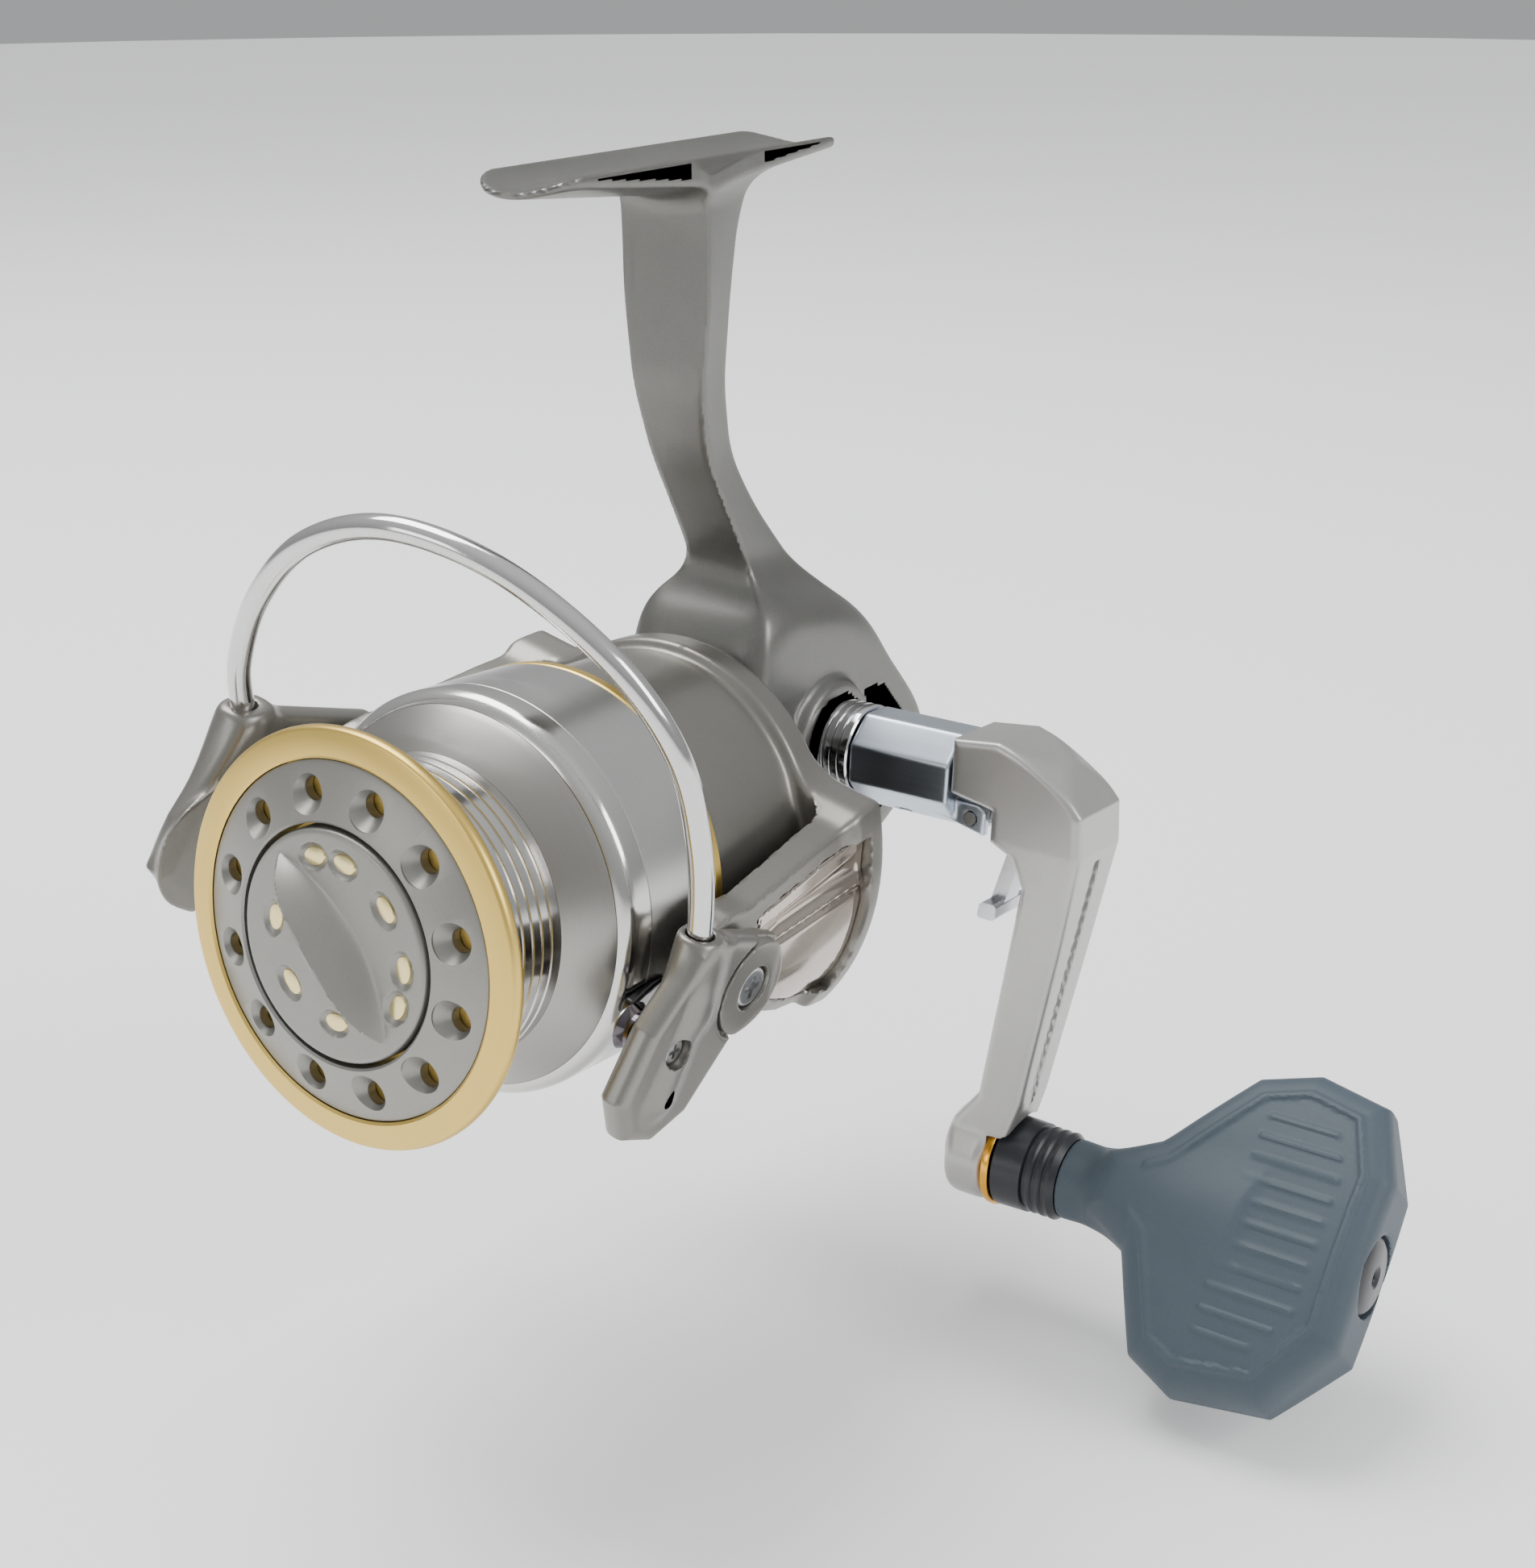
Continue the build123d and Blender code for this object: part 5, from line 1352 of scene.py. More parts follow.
@dataclass
class Bail:
    """The bail: the lever with the line roller, the wire arch and the pointed holder."""

    pivot_y: float = -55.0
    pivot_z: float = 2.0
    lever_in: float = 34.0
    lever_out: float = 38.0
    wire_r: float = 1.6
    roller_y: float = -70.0
    roller_z: float = -2.0
    arch: list = field(default_factory=lambda: [
        (35.0, -66.1, 5.6), (35.0, -66.2, 12.0), (33.4, -68.6, 24.0), (29.4, -72.2, 35.6), (20.4, -76.8,
                                                                                            44.8),
        (6.0, -81.2, 50.6), (-8.6, -84.0, 50.4), (-21.0, -83.6, 43.6), (-29.6, -81.2, 32.6), (-34.8, -77.4,
                                                                                              20.6),
        (-36.6, -73.6, 11.6), (-36.6, -73.45, 5.6)])
    lever_line: list = field(default_factory=lambda: [
        (-50.4, 7.6), (-61.0, 11.0), (-68.4, 10.4), (-75.4, 2.0), (-78.8, -7.0), (-76.0, -13.0), (-70.0,
                                                                                                  -15.4),
        (-63.6, -13.6), (-57.0, -5.4), (-49.6, -2.2)])
    holder_line: list = field(default_factory=lambda: [
        (-49.5, 6.5), (-70.5, 11.8), (-75.6, 10.6), (-83.6, -1.5), (-86.3, -8.6), (-80.0, -15.8), (-68.0,
                                                                                                   -14.0),
        (-52.0, -4.0)])

    def lever(self, x: Array, y: Array, z: Array) -> Array:
        """The handle-side lever: a teardrop bulb, the wire's socket and the pivot's boss.

        Args:
            x, y, z: where to measure, in the rotor's axes, mm.

        Returns:
            The signed distance, mm, negative inside.
        """
        flat = polygon(y, z, self.lever_line) - 0.2
        body = plate(flat, x, self.lever_in, self.lever_out, 1.8)
        bulb = capsule(x, y, z, (36.2, -67.2, 3.4), (36.2, -70.6, -8.6), 2.3, 3.0)
        bulb = common(bulb, 34.0 - x, 0.3)
        socket = capsule(x, y, z, (35.2, -66.1, 2.0), (35.0, -66.1, 11.0), 3.3, 2.75)
        socket = common(socket, z - 12.0, 0.5)
        solid = join(join(body, bulb, 2.0), socket, 2.2)
        boss = common(disc(y, z, 6.7, (self.pivot_y, self.pivot_z)), span(x, self.lever_in, self.lever_out),
                      1.0)
        solid = join(solid, boss, 0.5)
        ring = np.abs(disc(y, z, 6.9, (self.pivot_y, self.pivot_z))) - 0.28
        solid = without(solid, common(ring, self.lever_out - 1.2 - x), 0.15)
        solid = without(solid, disc(y, z, 1.5, (self.pivot_y, self.pivot_z)))
        sink = common(disc(y, z, 3.1, (self.pivot_y, self.pivot_z)), self.lever_out - 1.6 - x)
        solid = without(solid, sink, 0.25)
        solid = without(solid, disc(y, z, 1.0, (self.roller_y, self.roller_z)))
        head = common(disc(y, z, 2.0, (self.roller_y, self.roller_z)), self.lever_out - 1.4 - x)
        solid = without(solid, head, 0.2)
        return without(solid, common(disc(x, y, self.wire_r + 0.28, (35.0, -66.1)), 5.0 - z), 0.25)

    def holder(self, x: Array, y: Array, z: Array) -> Array:
        """The far-side holder, drawn on the near side: a swelling body that ends in a cone.

        Args:
            x, y, z: where to measure, in the rotor's axes, mm.

        Returns:
            The signed distance, mm, negative inside.
        """
        flat = polygon(y, z, self.holder_line) - 0.2
        body = plate(flat, x, self.lever_in, self.lever_out + 0.2, 2.0)
        collar = common(capsule(x, y, z, (36.6, -73.4, 0.0), (36.6, -73.45, 11.0), 4.4, 2.9), z - 12.2, 0.7)
        t = np.clip((x - 34.0) / 7.9, 0.0, 1.0)
        cone = (np.hypot(y + 78.4, z + 6.6) - 9.2 * (1.0 - t) ** 0.8) * 0.75
        cone = common(cone, span(x, self.lever_in, 41.8), 0.6)
        solid = join(join(body, collar, 4.0), cone, 1.2)
        slit = capsule(x, y, z, (38.6, -84.0, -1.0), (38.6, -72.0, 1.4), 0.45, 0.45)
        solid = without(solid, slit, 0.3)
        pin = common(disc(y, z, 0.95, (-75.0, 5.2)), 33.0 - x)
        solid = without(solid, pin, 0.2)
        solid = without(solid, disc(y, z, 1.5, (self.pivot_y, self.pivot_z)))
        sink = common(disc(y, z, 3.1, (self.pivot_y, self.pivot_z)), self.lever_out - 1.4 - x)
        solid = without(solid, sink, 0.25)
        return without(solid, common(disc(x, y, self.wire_r + 0.2, (36.6, -73.45)), 5.0 - z), 0.2)

    def build(self) -> None:
        """Builds the lever, the holder, the wire and the roller."""
        fine = (steps((32.4, 39.2, 0.28)), steps((-80.8, -47.0, 0.28)), steps((-17.0, 13.0, 0.28)))
        lever = make("bail_lever_casting", *skin(self.lever, fine, 2), ROTOR)
        dress(lever, ROTOR_PAINT, "bail", ["bail_lever"])
        fine = (steps((31.6, 44.6, 0.32)), steps((-88.4, -47.0, 0.32)), steps((-18.0, 13.4, 0.32)))
        points, faces = skin(self.holder, fine, 2)
        holder = make("bail_holder_casting", points * np.array((-1.0, 1.0, 1.0)), faces[:, ::-1], ROTOR)
        dress(holder, ROTOR_PAINT, "bail", ["bail_holder"])
        wire = swept("bail_wire_arch", self.arch, self.wire_r, WIRE_STEEL, ROTOR)
        dress(wire, WIRE_STEEL, "bail", ["bail_wire"])
        place = ROTOR @ Matrix.Translation((0, self.roller_y, self.roller_z))
        line = [(1.45, 30.5), (3.0, 30.5), (3.25, 30.8), (3.0, 31.2), (2.62, 31.8), (2.62, 32.3), (3.0, 32.9),
                (3.25, 33.2), (3.0, 33.5), (1.45, 33.5)]
        roller = lathe("line_roller_ring", line, place, "X", 96)
        dress(roller, DARK_ROLLER, "line_roller", ["line_roller"])


# ---- spool and drag ---------------------------------------------------------------------------------------
@dataclass
class Spool:
    """The spool with its lip, face plate, skirt and line clip."""

    lip_r: float = 27.0
    lip_y: float = -88.1
    arbor_r: float = 20.3
    skirt_r: float = 27.2
    skirt_wall: float = 1.3
    face_r: float = 22.9
    knob_r: float = 15.0
    hole_pcd: float = 38.6
    hole_count: int = 12
    web_y: float = -78.2
    shaft_bore: float = 1.95
    ridges: int = 7

    def arbor(self) -> None:
        """The arbor with its fine ridges, and the web that carries the drag."""
        r, y0, pitch = self.arbor_r, -85.7, 1.75
        outline = [(r, y0)]
        for i in range(self.ridges):
            y = y0 + 1.1 + pitch * i
            outline += [(r, y - 0.18), (r - 0.32, y), (r - 0.32, y + 0.16), (r, y + 0.34)]
        outline += [(r, -72.2), (r - 1.6, -71.0), (r - 1.6, self.web_y + 2.2), (5.0, self.web_y + 2.2),
                    (5.0, -67.4), (self.shaft_bore, -67.4), (self.shaft_bore, self.web_y), (13.6, self.web_y),
                    (13.6, y0)]
        dress(lathe("spool_arbor", outline, REEL, around=192), TURNED_POLISHED, "spool",
              ["spool"])

    def shoulder(self) -> None:
        """The satin cone behind the arbor and the rolled edge of the skirt."""
        inside = self.skirt_r - self.skirt_wall
        outline = [(self.arbor_r + 0.02, -72.16), (24.7, -68.5), (25.4, -67.6), (25.0, -66.9), (24.0, -66.8),
                   (self.arbor_r - 1.5, -70.98), (self.arbor_r - 0.2, -72.1)]
        dress(lathe("spool_shoulder", outline, REEL, around=192), TURNED_SATIN, "spool",
              [])
        outline = [(25.45, -67.55), (26.1, -67.3), (26.7, -66.8), (27.1, -66.2), (self.skirt_r, -65.5),
                   (self.skirt_r, -62.9), (inside, -62.9), (inside, -65.2), (25.05, -66.85)]
        dress(lathe("spool_bright_band", outline, REEL, around=192), TURNED_POLISHED, "spool",
              [])

    def skirt(self) -> None:
        """The satin skirt over the rotor and the gold ring at its rear edge."""
        inside = self.skirt_r - self.skirt_wall
        outline = [(self.skirt_r - 0.12, -62.86), (self.skirt_r, -62.7), (self.skirt_r, -49.5),
                   (self.skirt_r - 0.1, -49.4), (inside, -49.4), (inside, -62.86)]
        dress(lathe("spool_skirt", outline, REEL, around=192), SKIRT_SATIN, "spool", [])
        outline = [(self.skirt_r - 0.15, -49.3), (self.skirt_r + 0.05, -49.0), (self.skirt_r + 0.05, -47.7),
                   (self.skirt_r - 0.4, -47.05), (self.skirt_r - 1.1, -47.0), (inside, -47.6), (inside,
                                                                                                -49.3)]
        dress(lathe("skirt_gold_ring", outline, REEL, around=192), LIP_GOLD, "spool",
              ["spool_skirt_ring"])

    def lip(self) -> None:
        """The gold lip, rounded where the line leaves it."""
        r, y = self.lip_r, self.lip_y
        edge = [(r - 0.6 + 0.6 * math.sin(a), y + 0.35 - 0.95 * math.cos(a)) for a in
                (math.radians(d) for d in range(0, 151, 15))]
        outline = [(self.face_r + 0.15, y - 0.75), (self.face_r + 0.5, y - 1.0), (r - 1.9, y - 0.95)] + edge
        outline += [(self.arbor_r + 2.0, -86.3), (self.arbor_r + 0.4, -85.9), (13.7, -85.9), (13.7, -87.2),
                    (self.face_r + 0.15, -87.2)]
        dress(lathe("spool_gold_lip", outline, REEL, around=216), LIP_GOLD, "spool",
              ["spool_lip_ring"])

    def face_plate(self) -> None:
        """The shallow cone in the spool's face, with its twelve countersunk holes."""
        outline = [(self.face_r, -88.75), (self.face_r - 0.25, -88.95), (self.knob_r + 0.8, -90.85),
                   (self.knob_r + 0.5, -90.6), (self.knob_r + 0.5, -87.3), (self.face_r, -87.3)]
        plate_piece = lathe("spool_face_cone", outline, REEL, around=216)
        sink = lathe("sink", [(0, 5), (1.55, 5), (1.55, 0.25), (2.95, -1.5), (2.95, -4), (0, -4)],
                     Matrix.Rotation(math.radians(90), 4, "X"), "Y", 40)
        spots = []
        for i in range(self.hole_count):
            a = math.radians(15 + 360 * i / self.hole_count)
            spots.append((Vector((math.cos(a), 0, math.sin(a))) * self.hole_pcd / 2 + Vector((0, -88.9, 0)),
                          Vector((0, 1, 0))))
        tool = set_out("countersinks", sink, spots, FACE_PAINT, REEL)
        outwards(tool)
        cut(plate_piece, tool)
        dress(plate_piece, FACE_PAINT, "spool", ["spool_face_plate"])

    def clip(self) -> None:
        """The glossy wedge on the skirt that holds the end of the line."""
        turn = ROTOR @ Matrix.Rotation(math.radians(5), 4, "Y")

        def wedge(x: Array, y: Array, z: Array) -> Array:
            """The wedge: a ramp that rises off the skirt.

            Args:
                x, y, z: where to measure, in the rotor's axes, mm.

            Returns:
                The signed distance, mm, negative inside.
            """
            r = np.hypot(x, z)
            rise = self.skirt_r + 0.35 + 1.35 * np.clip((-58.4 - y) / 8.0, 0.0, 1.0)
            flat = common(span(y, -67.2, -58.6), np.abs(z) - 2.2 + 0.6 * np.clip((-62.0 - y) / 5.0, 0, 1),
                          0.8)
            return common(common(r - rise, self.skirt_r + 0.03 - r), flat, 0.5)

        grid = (steps((25.8, 29.8, 0.16)), steps((-68.0, -57.8, 0.2)), steps((-3.0, 3.0, 0.16)))
        dress(make("line_clip_wedge", *skin(wedge, grid, 1), turn), CLIP_BLACK, "spool",
              ["line_clip"])

    def build(self) -> None:
        """Builds every piece of the spool."""
        self.arbor()
        self.shoulder()
        self.skirt()
        self.lip()
        self.face_plate()
        self.clip()


@dataclass
class DragKnob:
    """The drag knob: a low disc with a leaf-shaped finger ridge and gold inlays."""

    radius: float = 15.0
    face: float = 91.4
    reach: float = 13.6
    half: float = 5.0
    rise: float = 4.3
    turn: float = -40.0
    inlays: tuple = ((-38, 9.8), (-88, 9.6), (-139, 9.8), (24, 11.6), (50, 11.4), (89, 11.0), (130, 11.2),
                     (155, 11.4))

    def place(self) -> Matrix:
        """Axes with Z out of the knob's face and X along its ridge."""
        axes = Matrix(((0, 1, 0, 0), (0, 0, -1, 0), (-1, 0, 0, 0), (0, 0, 0, 1)))
        return REEL @ Matrix.Rotation(math.radians(self.turn), 4, "Y") @ axes

    def spots(self) -> list[tuple[float, float, float]]:
        """Each inlay's place on the face and its direction from the centre.

        Returns:
            For each inlay its two coordinates, mm, and its direction, radians.
        """
        result = []
        for turn, reach in self.inlays:
            a = math.radians(turn)
            result.append((reach * math.cos(a), reach * math.sin(a), a))
        return result

    def solid(self, x: Array, y: Array, z: Array) -> Array:
        """The knob, with X along the ridge and Z out of the face.

        Args:
            x, y, z: where to measure, in the knob's axes, mm.

        Returns:
            The signed distance, mm, negative inside.
        """
        r = np.hypot(x, y)
        wide = self.half * np.clip(1.0 - (x / self.reach) ** 2, 0.0, 1.0) + 1e-3
        across = np.clip(np.abs(y) / wide, 0.0, 1.0)
        crest = self.rise * np.clip(1.0 - (x / self.reach) ** 4, 0.0, 1.0)
        ridge = crest * (1.0 - across) ** 1.35
        top = self.face - 0.0016 * r * r + ridge
        for u, v, a in self.spots():
            along = (x - u) * math.cos(a) + (y - v) * math.sin(a)
            side = (y - v) * math.cos(a) - (x - u) * math.sin(a)
            bowl = (side / 2.5) ** 2 + (along / 1.75) ** 2
            top = top - 0.85 * np.clip(1.0 - bowl, 0.0, 1.0) ** 0.7
        solid = common((z - top) * 0.72, common(disc(x, y, self.radius), 87.4 - z), 0.8)
        room = common(disc(x, y, 11.6), z - 88.2, 0.3)
        return join(without(solid, room, 0.3), plate(span(r, 2.1, 6.4), z, 85.6, 88.6, 0.3))

    def inlay_set(self) -> bpy.types.Object:
        """The gold inlays: low ovals in their recesses.

        Returns:
            The inlays as one piece.
        """
        line = [(0, 0.34), (0.5, 0.32), (0.9, 0.2), (1.0, 0.0), (1.0, -0.5), (0, -0.5)]
        unit = lathe("oval", line, Matrix.Rotation(math.radians(90), 4, "X"), "Y", 36)
        outwards(unit)
        pieces = []
        for u, v, a in self.spots():
            piece = unit.copy()
            piece.data = unit.data.copy()
            piece.data.transform(self.place() @ Matrix.Translation((u, v, self.face - 0.75))
                                 @ Matrix.Rotation(a, 4, "Z") @ Matrix.Diagonal((1.2, 1.85, 1.0, 1.0)))
            outwards(piece)
            bpy.context.scene.collection.objects.link(piece)
            pieces.append(piece)
        bpy.data.objects.remove(unit)
        return merged("drag_knob_inlays", pieces)

    def build(self) -> None:
        """Builds the knob and its inlays."""
        grid = (steps((-15.6, 15.6, 0.28)), steps((-15.6, 15.6, 0.28)), steps((85.2, 96.2, 0.26)))
        knob = make("drag_knob_cap", *skin(self.solid, grid, 1), self.place())
        dress(knob, FACE_PAINT, "drag_knob", ["drag_knob"])
        dress(self.inlay_set(), INLAY_GOLD, "drag_knob", ["knob_inlays"])


# ---- handle -----------------------------------------------------------------------------------------------
@dataclass
class Handle:
    """The crank: collar, eight-sided sleeve, folding arm and the knob."""

    collar_r: float = 7.1
    sleeve_r: float = 7.2
    sleeve_x0: float = 20.2
    sleeve_x1: float = 36.6
    fold_x: float = 39.2
    fold_z: float = 3.6
    latch_z: float = 2.6
    hub_y: float = 2.45
    hub_z: float = -49.7
    hub_x0: float = 38.9
    hub_x1: float = 45.3
    grip_x0: float = 57.2
    grip_turn: float = 40.0
    arm_line: list = field(default_factory=lambda: [
        (36.8, 15.4), (44.0, 16.2), (52.5, 13.4), (57.4, 8.0), (57.8, 2.0), (55.4, -12.0), (50.6, -38.0),
        (48.4, -44.6), (45.3, -48.0), (38.9, -48.0), (39.5, -43.2), (43.4, -38.0), (48.8, -4.2), (47.2, -0.2),
        (43.6, 1.6), (43.6, 6.2), (36.8, 7.4)])
    arm_front: list = field(default_factory=lambda: [
        (-6.6, 17.0), (6.6, 17.0), (6.9, 2.0), (6.4, -10.0), (5.9, -38.0), (7.85, -48.0), (7.85, -58.0),
        (-2.95, -58.0), (-2.95, -48.0), (-3.4, -38.0), (-5.4, -10.0), (-6.6, 2.0)])
    grip_line: list = field(default_factory=lambda: [
        (64.0, -4.0), (70.0, -8.0), (75.5, -21.5), (82.0, -24.6), (95.5, -22.5), (103.0, -12.0), (103.0,
                                                                                                  12.0),
        (98.5, 22.5), (88.0, 24.6), (80.0, 21.5), (70.5, 8.0), (64.0, 4.0)])

    def collar(self) -> None:
        """The grooved chrome collar."""
        r = self.collar_r
        outline = [(3.4, 14.4), (6.2, 14.4), (r - 0.2, 14.9), (r, 15.3)]
        for i in range(3):
            x = 15.7 + 1.3 * i
            outline += [(r, x), (r - 0.45, x + 0.12), (r - 0.45, x + 0.3), (r, x + 0.42)]
        outline += [(r, 19.7), (r - 0.3, 19.9), (3.4, 19.9), (3.4, 17.4), (0, 17.4), (0, 16.9), (3.4, 16.9)]
        body = lathe("crank_collar", outline, AXES.raised(0, 0, AXES.crank_z), "X", 128)
        square = lathe("crank_screw", [(0, -4.0), (1.8, -4.0), (1.8, 17.2), (0, 17.2)],
                       AXES.raised(0, 0, AXES.crank_z), "X", 48)
        dress(merged("crank_collar_ring", [body, square]), CHROME, "crank",
              ["handle_collar"])

    def sleeve(self, x: Array, y: Array, z: Array) -> Array:
        """The eight-sided sleeve, forked at its outer end, about the crank's axis.

        Args:
            x, y, z: where to measure, in the piece's own axes, mm.

        Returns:
            The signed distance, mm, negative inside.
        """
        flat = self.sleeve_r * math.cos(math.pi / 8)
        solid = None
        for i in range(4):
            a = math.pi / 4 * i
            side = np.abs(y * math.cos(a) + z * math.sin(a)) - flat
            solid = side if solid is None else common(solid, side, 0.35)
        solid = common(solid, span(x, self.sleeve_x0, self.sleeve_x1), 0.5)
        line = [(33.6, -5.4), (41.4, -7.2), (41.6, -3.6), (40.4, -2.8), (33.6, -2.6)]
        ears = plate(polygon(x, z, line), np.abs(y), 2.3, 3.9, 0.4)
        pin = disc(x, z, 1.05, (self.fold_x, self.fold_z - AXES.crank_z))
        solid = join(solid, without(ears, pin), 0.5)
        root = common(disc(y, z, 3.3), span(x, 17.5, self.sleeve_x0 + 1.0))
        mark = plate(common(span(x, 26.4, 29.2), span(y, -4.3, -2.5), 0.7), z, -7.4, -6.05, 0.2)
        return without(join(solid, root), mark)

    def arm(self, x: Array, y: Array, z: Array) -> Array:
        """The folding arm: a faceted elbow that tapers to the knob's hub.

        Args:
            x, y, z: where to measure, in the piece's own axes, mm.

        Returns:
            The signed distance, mm, negative inside.
        """
        side = polygon(x, z, self.arm_line)
        front = polygon(y, z, self.arm_front)
        solid = common(common(side, front, 1.3), span(y, -7.0, 7.5), 1.0)
        chamfer = ((x - 50.6) * 0.52 + (z - 14.4) * 0.85 + np.abs(y) * 0.28 - 0.6)
        solid = common(solid, chamfer, 0.5)
        solid = without(solid, common(disc(y, z, 7.6, (self.hub_y, self.hub_z)), self.hub_x1 - x), 0.4)
        hub = common(disc(y, z, 7.0, (self.hub_y, self.hub_z)), span(x, self.hub_x0, self.hub_x1), 1.8)
        solid = join(solid, hub, 1.4)
        tongue = common(disc(x, z, 2.2, (self.fold_x, self.fold_z)), np.abs(y) - 2.1, 0.3)
        block = common(span(x, self.fold_x - 0.8, 45.0), common(span(z, self.fold_z - 0.6, 8.4),
                                                                np.abs(y) - 2.1))
        solid = join(solid, join(tongue, block, 0.4), 0.4)
        solid = without(solid, disc(x, z, 1.05, (self.fold_x, self.fold_z)))
        bore = common(disc(y, z, 2.02, (self.hub_y, self.hub_z)), self.hub_x0 + 1.0 - x)
        solid = without(solid, bore)
        pocket = common(common(span(x, 43.5, 48.4), np.abs(y) - 2.3), span(z, -2.0, self.latch_z + 2.2))
        solid = without(solid, pocket, 0.2)
        inlay = np.abs((x - 58.0) - (z - 1.0) * 0.166 + 0.35) - 0.9
        inlay = common(inlay, common(span(z, -40.5, 0.5), span(y, -0.6, 1.2), 0.6))
        return without(solid, inlay, 0.15)

    def grip(self, x: Array, y: Array, z: Array) -> Array:
        """The rubber grip about the knob's axle: a T with a raised line round each broad side.

        Args:
            x, y, z: where to measure, in the piece's own axes, mm.

        Returns:
            The signed distance, mm, negative inside.
        """
        line = polygon(x, z, self.grip_line)
        thick = 8.3 - 0.012 * (z * z) * 0.5
        bar = common(line - 0.3, (np.abs(y) - thick), 4.0)
        profile = eased(x, (57.2, 66.0, 72.0, 80.0, 90.0), (6.0, 5.6, 7.2, 8.2, 8.2), 4.0)
        neck = common((np.hypot(y, z) - profile) * 0.9, span(x, self.grip_x0, 84.0), 0.4)
        solid = join(bar, neck, 4.0)
        rim = np.abs(line + 3.6) - 0.42
        panel = common(rim, common(np.abs(y) - thick - 0.42, thick - 1.5 - np.abs(y)), 0.3)
        solid = join(solid, common(panel, 70.0 - x, 0.3), 0.5)
        ribs = common(np.abs((np.abs(z) + 1.6) % 3.2 - 1.6) - 0.35, common(line + 6.4, 84.0 - x))
        ribs = common(ribs, common(np.abs(y) - thick - 0.25, thick - 1.5 - np.abs(y)), 0.2)
        solid = join(solid, ribs, 0.4)
        solid = without(solid, common(disc(y, z, 5.9), 98.4 - x), 0.3)
        return without(without(solid, disc(y, z, 2.6)), common(disc(y, z, 3.6), span(x, 94.6, 99.0)))

    def knob(self) -> None:
        """The orange ring, the ribbed collar, the grip and its cap, all turning about the axle."""
        place = AXES.raised(0, self.hub_y, self.hub_z)
        x = self.hub_x1 + 0.3
        ring = lathe("knob_orange_ring", rounded([(2.6, x), (7.2, x), (7.2, x + 1.2), (2.6, x + 1.2)], 0.25),
                     place, "X", 128)
        dress(ring, ORANGE_GOLD, "handle_knob", ["knob_ring"])
        x = self.hub_x1 + 1.7
        outline = [(2.6, x), (6.7, x), (6.9, x + 0.2), (6.75, self.grip_x0 - 5.4)]
        for i in range(3):
            start = self.grip_x0 - 5.2 + 1.55 * i
            outline += [(6.15, start), (6.05, start + 0.45), (6.55, start + 0.65), (6.6, start + 1.1),
                        (6.45, start + 1.3)]
        outline += [(5.9, self.grip_x0 - 0.1), (2.6, self.grip_x0 - 0.1)]
        dress(lathe("knob_black_collar", outline, place, "X", 128), BLACK_PLASTIC, "handle_knob",
              ["knob_collar"])
        turned = AXES.raised(0, self.hub_y, self.hub_z, -math.radians(self.grip_turn))
        grid = (steps((56.8, 104.0, 0.42)), steps((-9.6, 9.6, 0.36)), steps((-25.6, 25.6, 0.42)))
        dress(make("knob_rubber_grip", *skin(self.grip, grid), turned), GRIP_RUBBER, "handle_knob",
              ["knob_grip"])
        outline = [(0.95, 101.0), (0.95, 102.9), (1.25, 103.2), (1.7, 103.45), (4.6, 103.3), (5.5, 102.7),
                   (5.7, 102.2), (5.7, 101.0), (4.2, 101.0), (4.2, 101.4), (1.6, 101.4), (1.6, 101.0)]
        dress(lathe("knob_end_disc", outline, place, "X", 96), BLACK_PLASTIC, "handle_knob",
              ["knob_end_cap"])

    def build(self) -> None:
        """Builds the crank from the collar to the knob."""
        self.collar()
        crank = AXES.raised(0, 0, AXES.crank_z)
        grid = (steps((17.0, 42.4, 0.3)), steps((-7.6, 7.6, 0.25)), steps((-7.8, 7.6, 0.25)))
        dress(make("crank_sleeve", *skin(self.sleeve, grid, 1), crank), SLEEVE_SATIN, "crank",
              ["handle_sleeve"])
        grid = (steps((36.2, 58.8, 0.36)), steps((-7.6, 10.2, 0.36)), steps((-57.4, 17.2, 0.36)))
        dress(make("crank_arm", *skin(self.arm, grid, 2), REEL), ARM_PAINT, "handle_arm",
              ["handle_arm"])
        self.knob()


# ---- pieces that keep the part's own shape ------------------------------------------------------------
CARRIED = {
    "anti_reverse_lever": BLACK_PLASTIC, "guide_rods": STEEL, "pinion_bearing": STEEL,
    "drive_bearings": STEEL,
    "roller_clutch": STEEL, "clutch_plate": STEEL, "drive_shaft": STEEL, "drive_gear": ZINC,
    "oscillation_pinion": BRASS, "oscillation_gear": NYLON, "oscillation_slider": ZINC, "main_shaft": STEEL,
    "spool_support": BLACK_PLASTIC, "click_pawl": STEEL, "pinion": BRASS, "nut_retainer": STEEL,
    "arm_screws": STEEL, "bail_spring": STEEL, "spring_guide": STEEL, "kick_lever": STEEL,
    "bail_pivot_screws": STEEL, "roller_bush": BRASS, "roller_screw": STEEL, "drag_washers": FELT,
    "washer_retainer": STEEL, "click_ratchet": BLACK_PLASTIC, "drag_nut": BRASS, "drag_spring": STEEL,
    "fold_pin": STEEL, "fold_lever": LATCH_SILVER, "knob_axle": STEEL, "knob_bushes": NYLON,
    "axle_screw": STEEL,
}


def dress_carried() -> None:
    """Gives every node that keeps its own shape its finish."""
    for node, finish in CARRIED.items():
        piece = frame["nodes"][node]
        for slot in piece.material_slots:
            slot.material = finish.material()


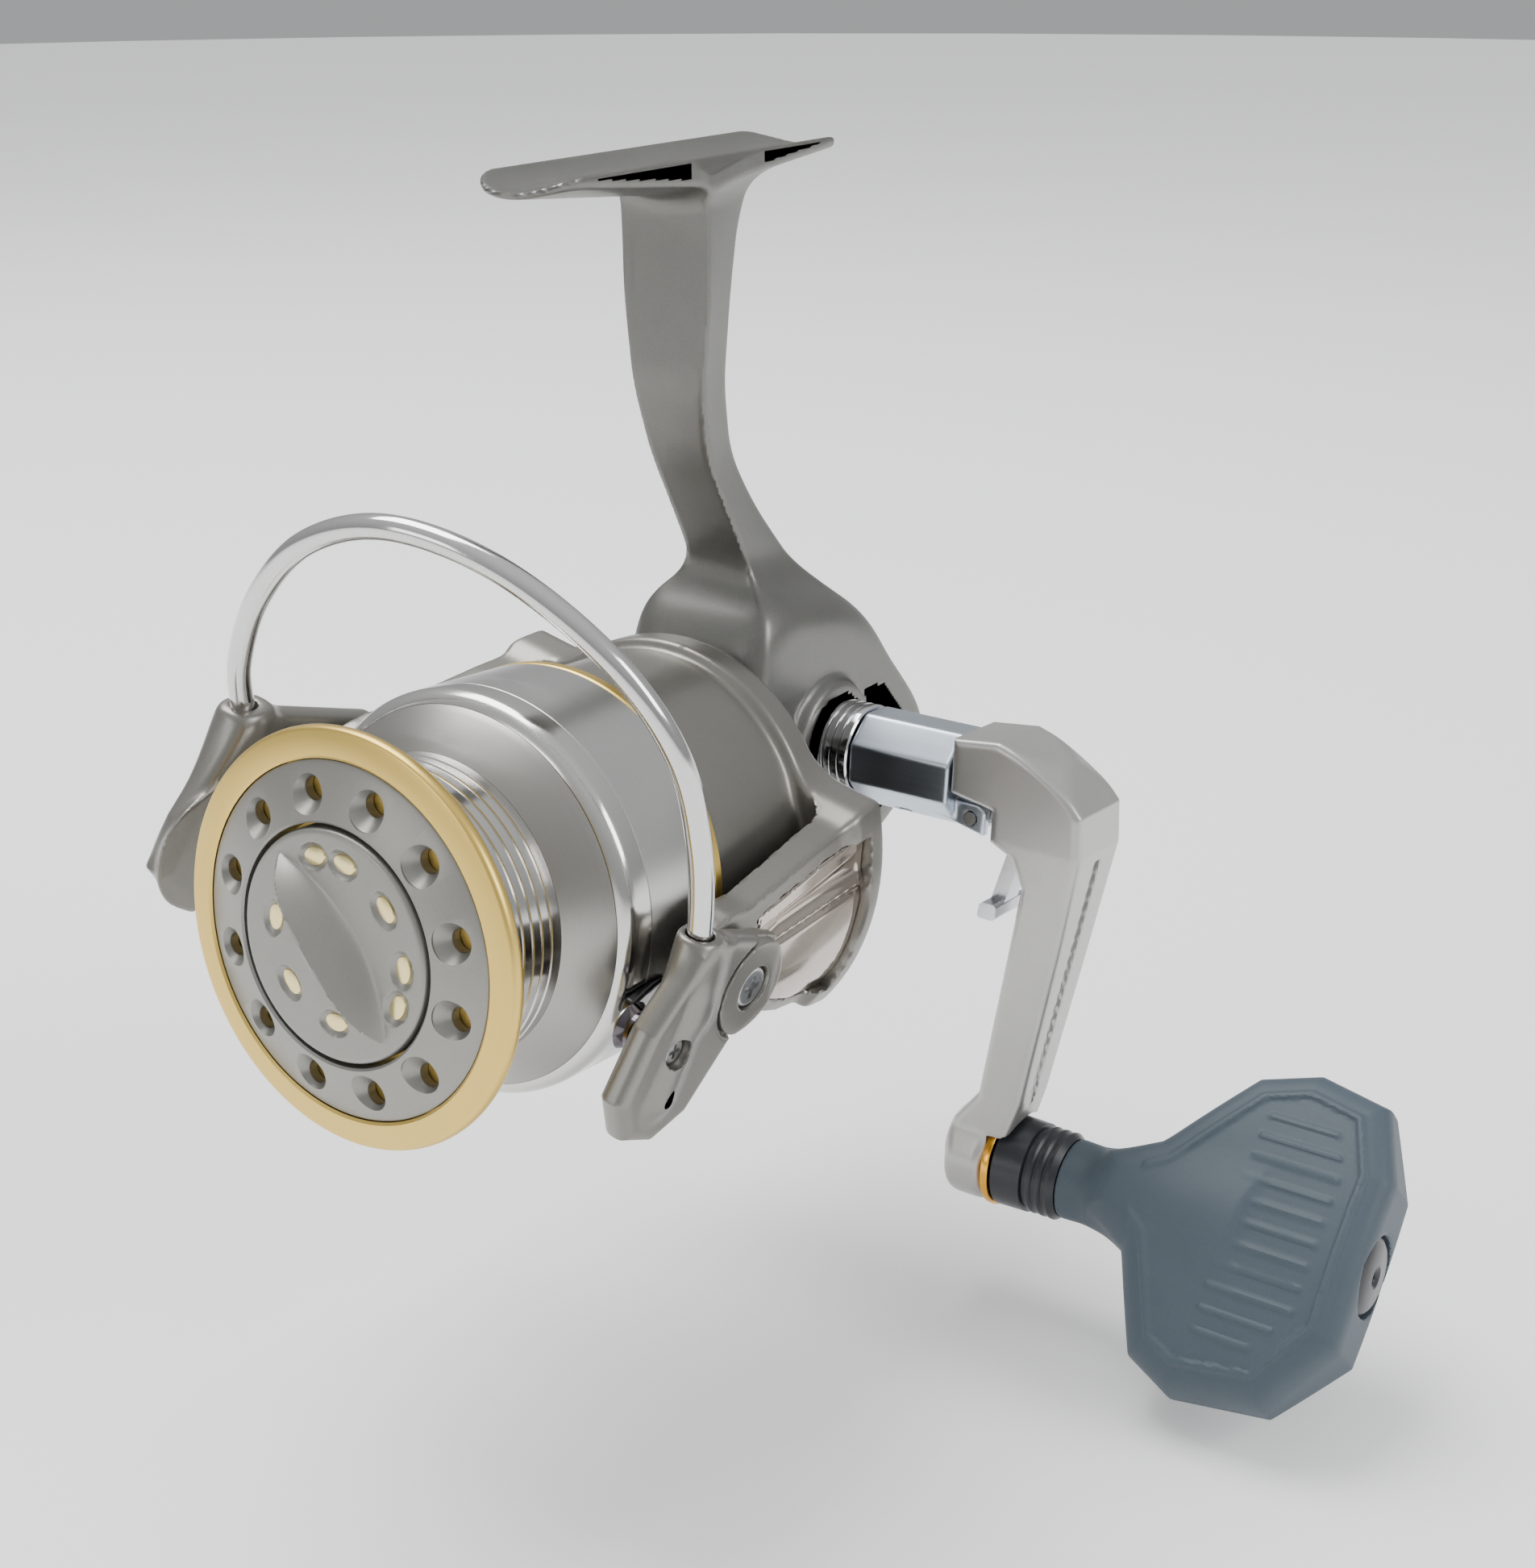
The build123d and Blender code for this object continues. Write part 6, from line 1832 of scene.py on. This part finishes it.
# ---- studio -------------------------------------------------------------------------------------------
@dataclass
class Studio:
    """A plain pale floor, soft lights and the camera."""

    floor_half: float = 3.0
    camera_at: tuple = (185.58, -278.83, 104.91)
    azimuth: float = 33.364
    elevation: float = 17.476
    roll: float = 2.735
    lens: float = 52.802

    def floor(self) -> None:
        """The floor, below the lowest piece."""
        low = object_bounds()[0][2] - 0.004
        n, half = 64, self.floor_half
        points = [(0.0, 0.0, low)] + [(half * math.cos(2 * math.pi * i / n),
                                       half * math.sin(2 * math.pi * i / n),
                                       low) for i in range(n)]
        faces = [(0, 1 + i, 1 + (i + 1) % n) for i in range(n)]
        floor = make("floor", points, faces, Matrix.Identity(4))
        material = bpy.data.materials.new("floor_paper")
        material.use_nodes = True
        shader = material.node_tree.nodes["Principled BSDF"]
        shader.inputs["Base Color"].default_value = (0.93, 0.93, 0.93, 1.0)
        shader.inputs["Roughness"].default_value = 0.9
        shader.inputs["Emission Color"].default_value = (1.0, 1.0, 1.0, 1.0)
        shader.inputs["Emission Strength"].default_value = 0.22
        floor.data.materials.append(material)
        floor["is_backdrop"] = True

    def light(self, name: str, at: tuple, size: float, power: float) -> None:
        """A square soft light that points at the reel.

        Args:
            name: its name.
            at: its place in metres.
            size: its side in metres.
            power: its power in watts.
        """
        lamp = bpy.data.lights.new(name, "AREA")
        lamp.shape = "SQUARE"
        lamp.size = size
        lamp.energy = power
        thing = bpy.data.objects.new(name, lamp)
        target = Vector((0.0, -0.03, -0.08))
        thing.location = at
        thing.rotation_euler = (target - Vector(at)).to_track_quat("-Z", "Y").to_euler()
        bpy.context.scene.collection.objects.link(thing)

    def world(self) -> None:
        """A pale surround, brighter above than at the horizon."""
        world = bpy.data.worlds.new("surround")
        bpy.context.scene.world = world
        world.use_nodes = True
        world.node_tree.nodes.clear()
        build = Sockets(world.node_tree)
        where = build.add("ShaderNodeTexCoord")
        parts = build.add("ShaderNodeSeparateXYZ", {0: where.outputs["Generated"]})
        rise = build.add("ShaderNodeMapRange", {"Value": parts.outputs["Z"], "From Min": 0.0, "From Max": 0.9,
                                                "To Min": 0.40, "To Max": 0.80})
        back = build.add("ShaderNodeBackground", {"Color": (0.97, 0.985, 1.0, 1.0),
                                                  "Strength": rise.outputs[0]})
        build.add("ShaderNodeOutputWorld", {"Surface": back.outputs[0]})

    def camera(self) -> None:
        """The camera, a little right of the spool and above it."""
        turn = Matrix.Rotation(math.radians(self.azimuth), 4, "Z")
        turn = turn @ Matrix.Rotation(math.radians(90.0 - self.elevation), 4, "X")
        turn = turn @ Matrix.Rotation(math.radians(self.roll), 4, "Z")
        unscaled = AXES.matrix @ Matrix.Scale(1.0 / MM, 4)
        place = Matrix.Translation(AXES.matrix @ Vector(self.camera_at)) @ unscaled.to_3x3().to_4x4() @ turn
        data = bpy.data.cameras.new("camera")
        data.sensor_fit = "VERTICAL"
        data.sensor_height = 36.0
        data.lens = self.lens
        data.clip_start = 0.01
        camera = bpy.data.objects.new("camera", data)
        camera.matrix_world = place
        bpy.context.scene.collection.objects.link(camera)
        bpy.context.scene.camera = camera

    def build(self) -> None:
        """Sets up the floor, the lights, the surround and the camera."""
        self.floor()
        self.light("key", (-0.45, 0.05, 1.0), 0.8, 17.0)
        self.light("side", (0.95, 0.15, 0.45), 0.5, 5.0)
        self.light("front", (-0.35, -1.1, 0.25), 0.4, 1.6)
        self.world()
        self.camera()


def main() -> None:
    """Builds the reel from the body outwards, then the studio."""
    logging.basicConfig(level=logging.INFO, format="%(message)s")
    for assembly in (ReelBody(), Rotor(), Bail(), Spool(), DragKnob(), Handle()):
        assembly.build()
    dress_carried()
    Studio().build()
    bpy.context.view_layer.update()


if __name__ == "__main__":
    main()
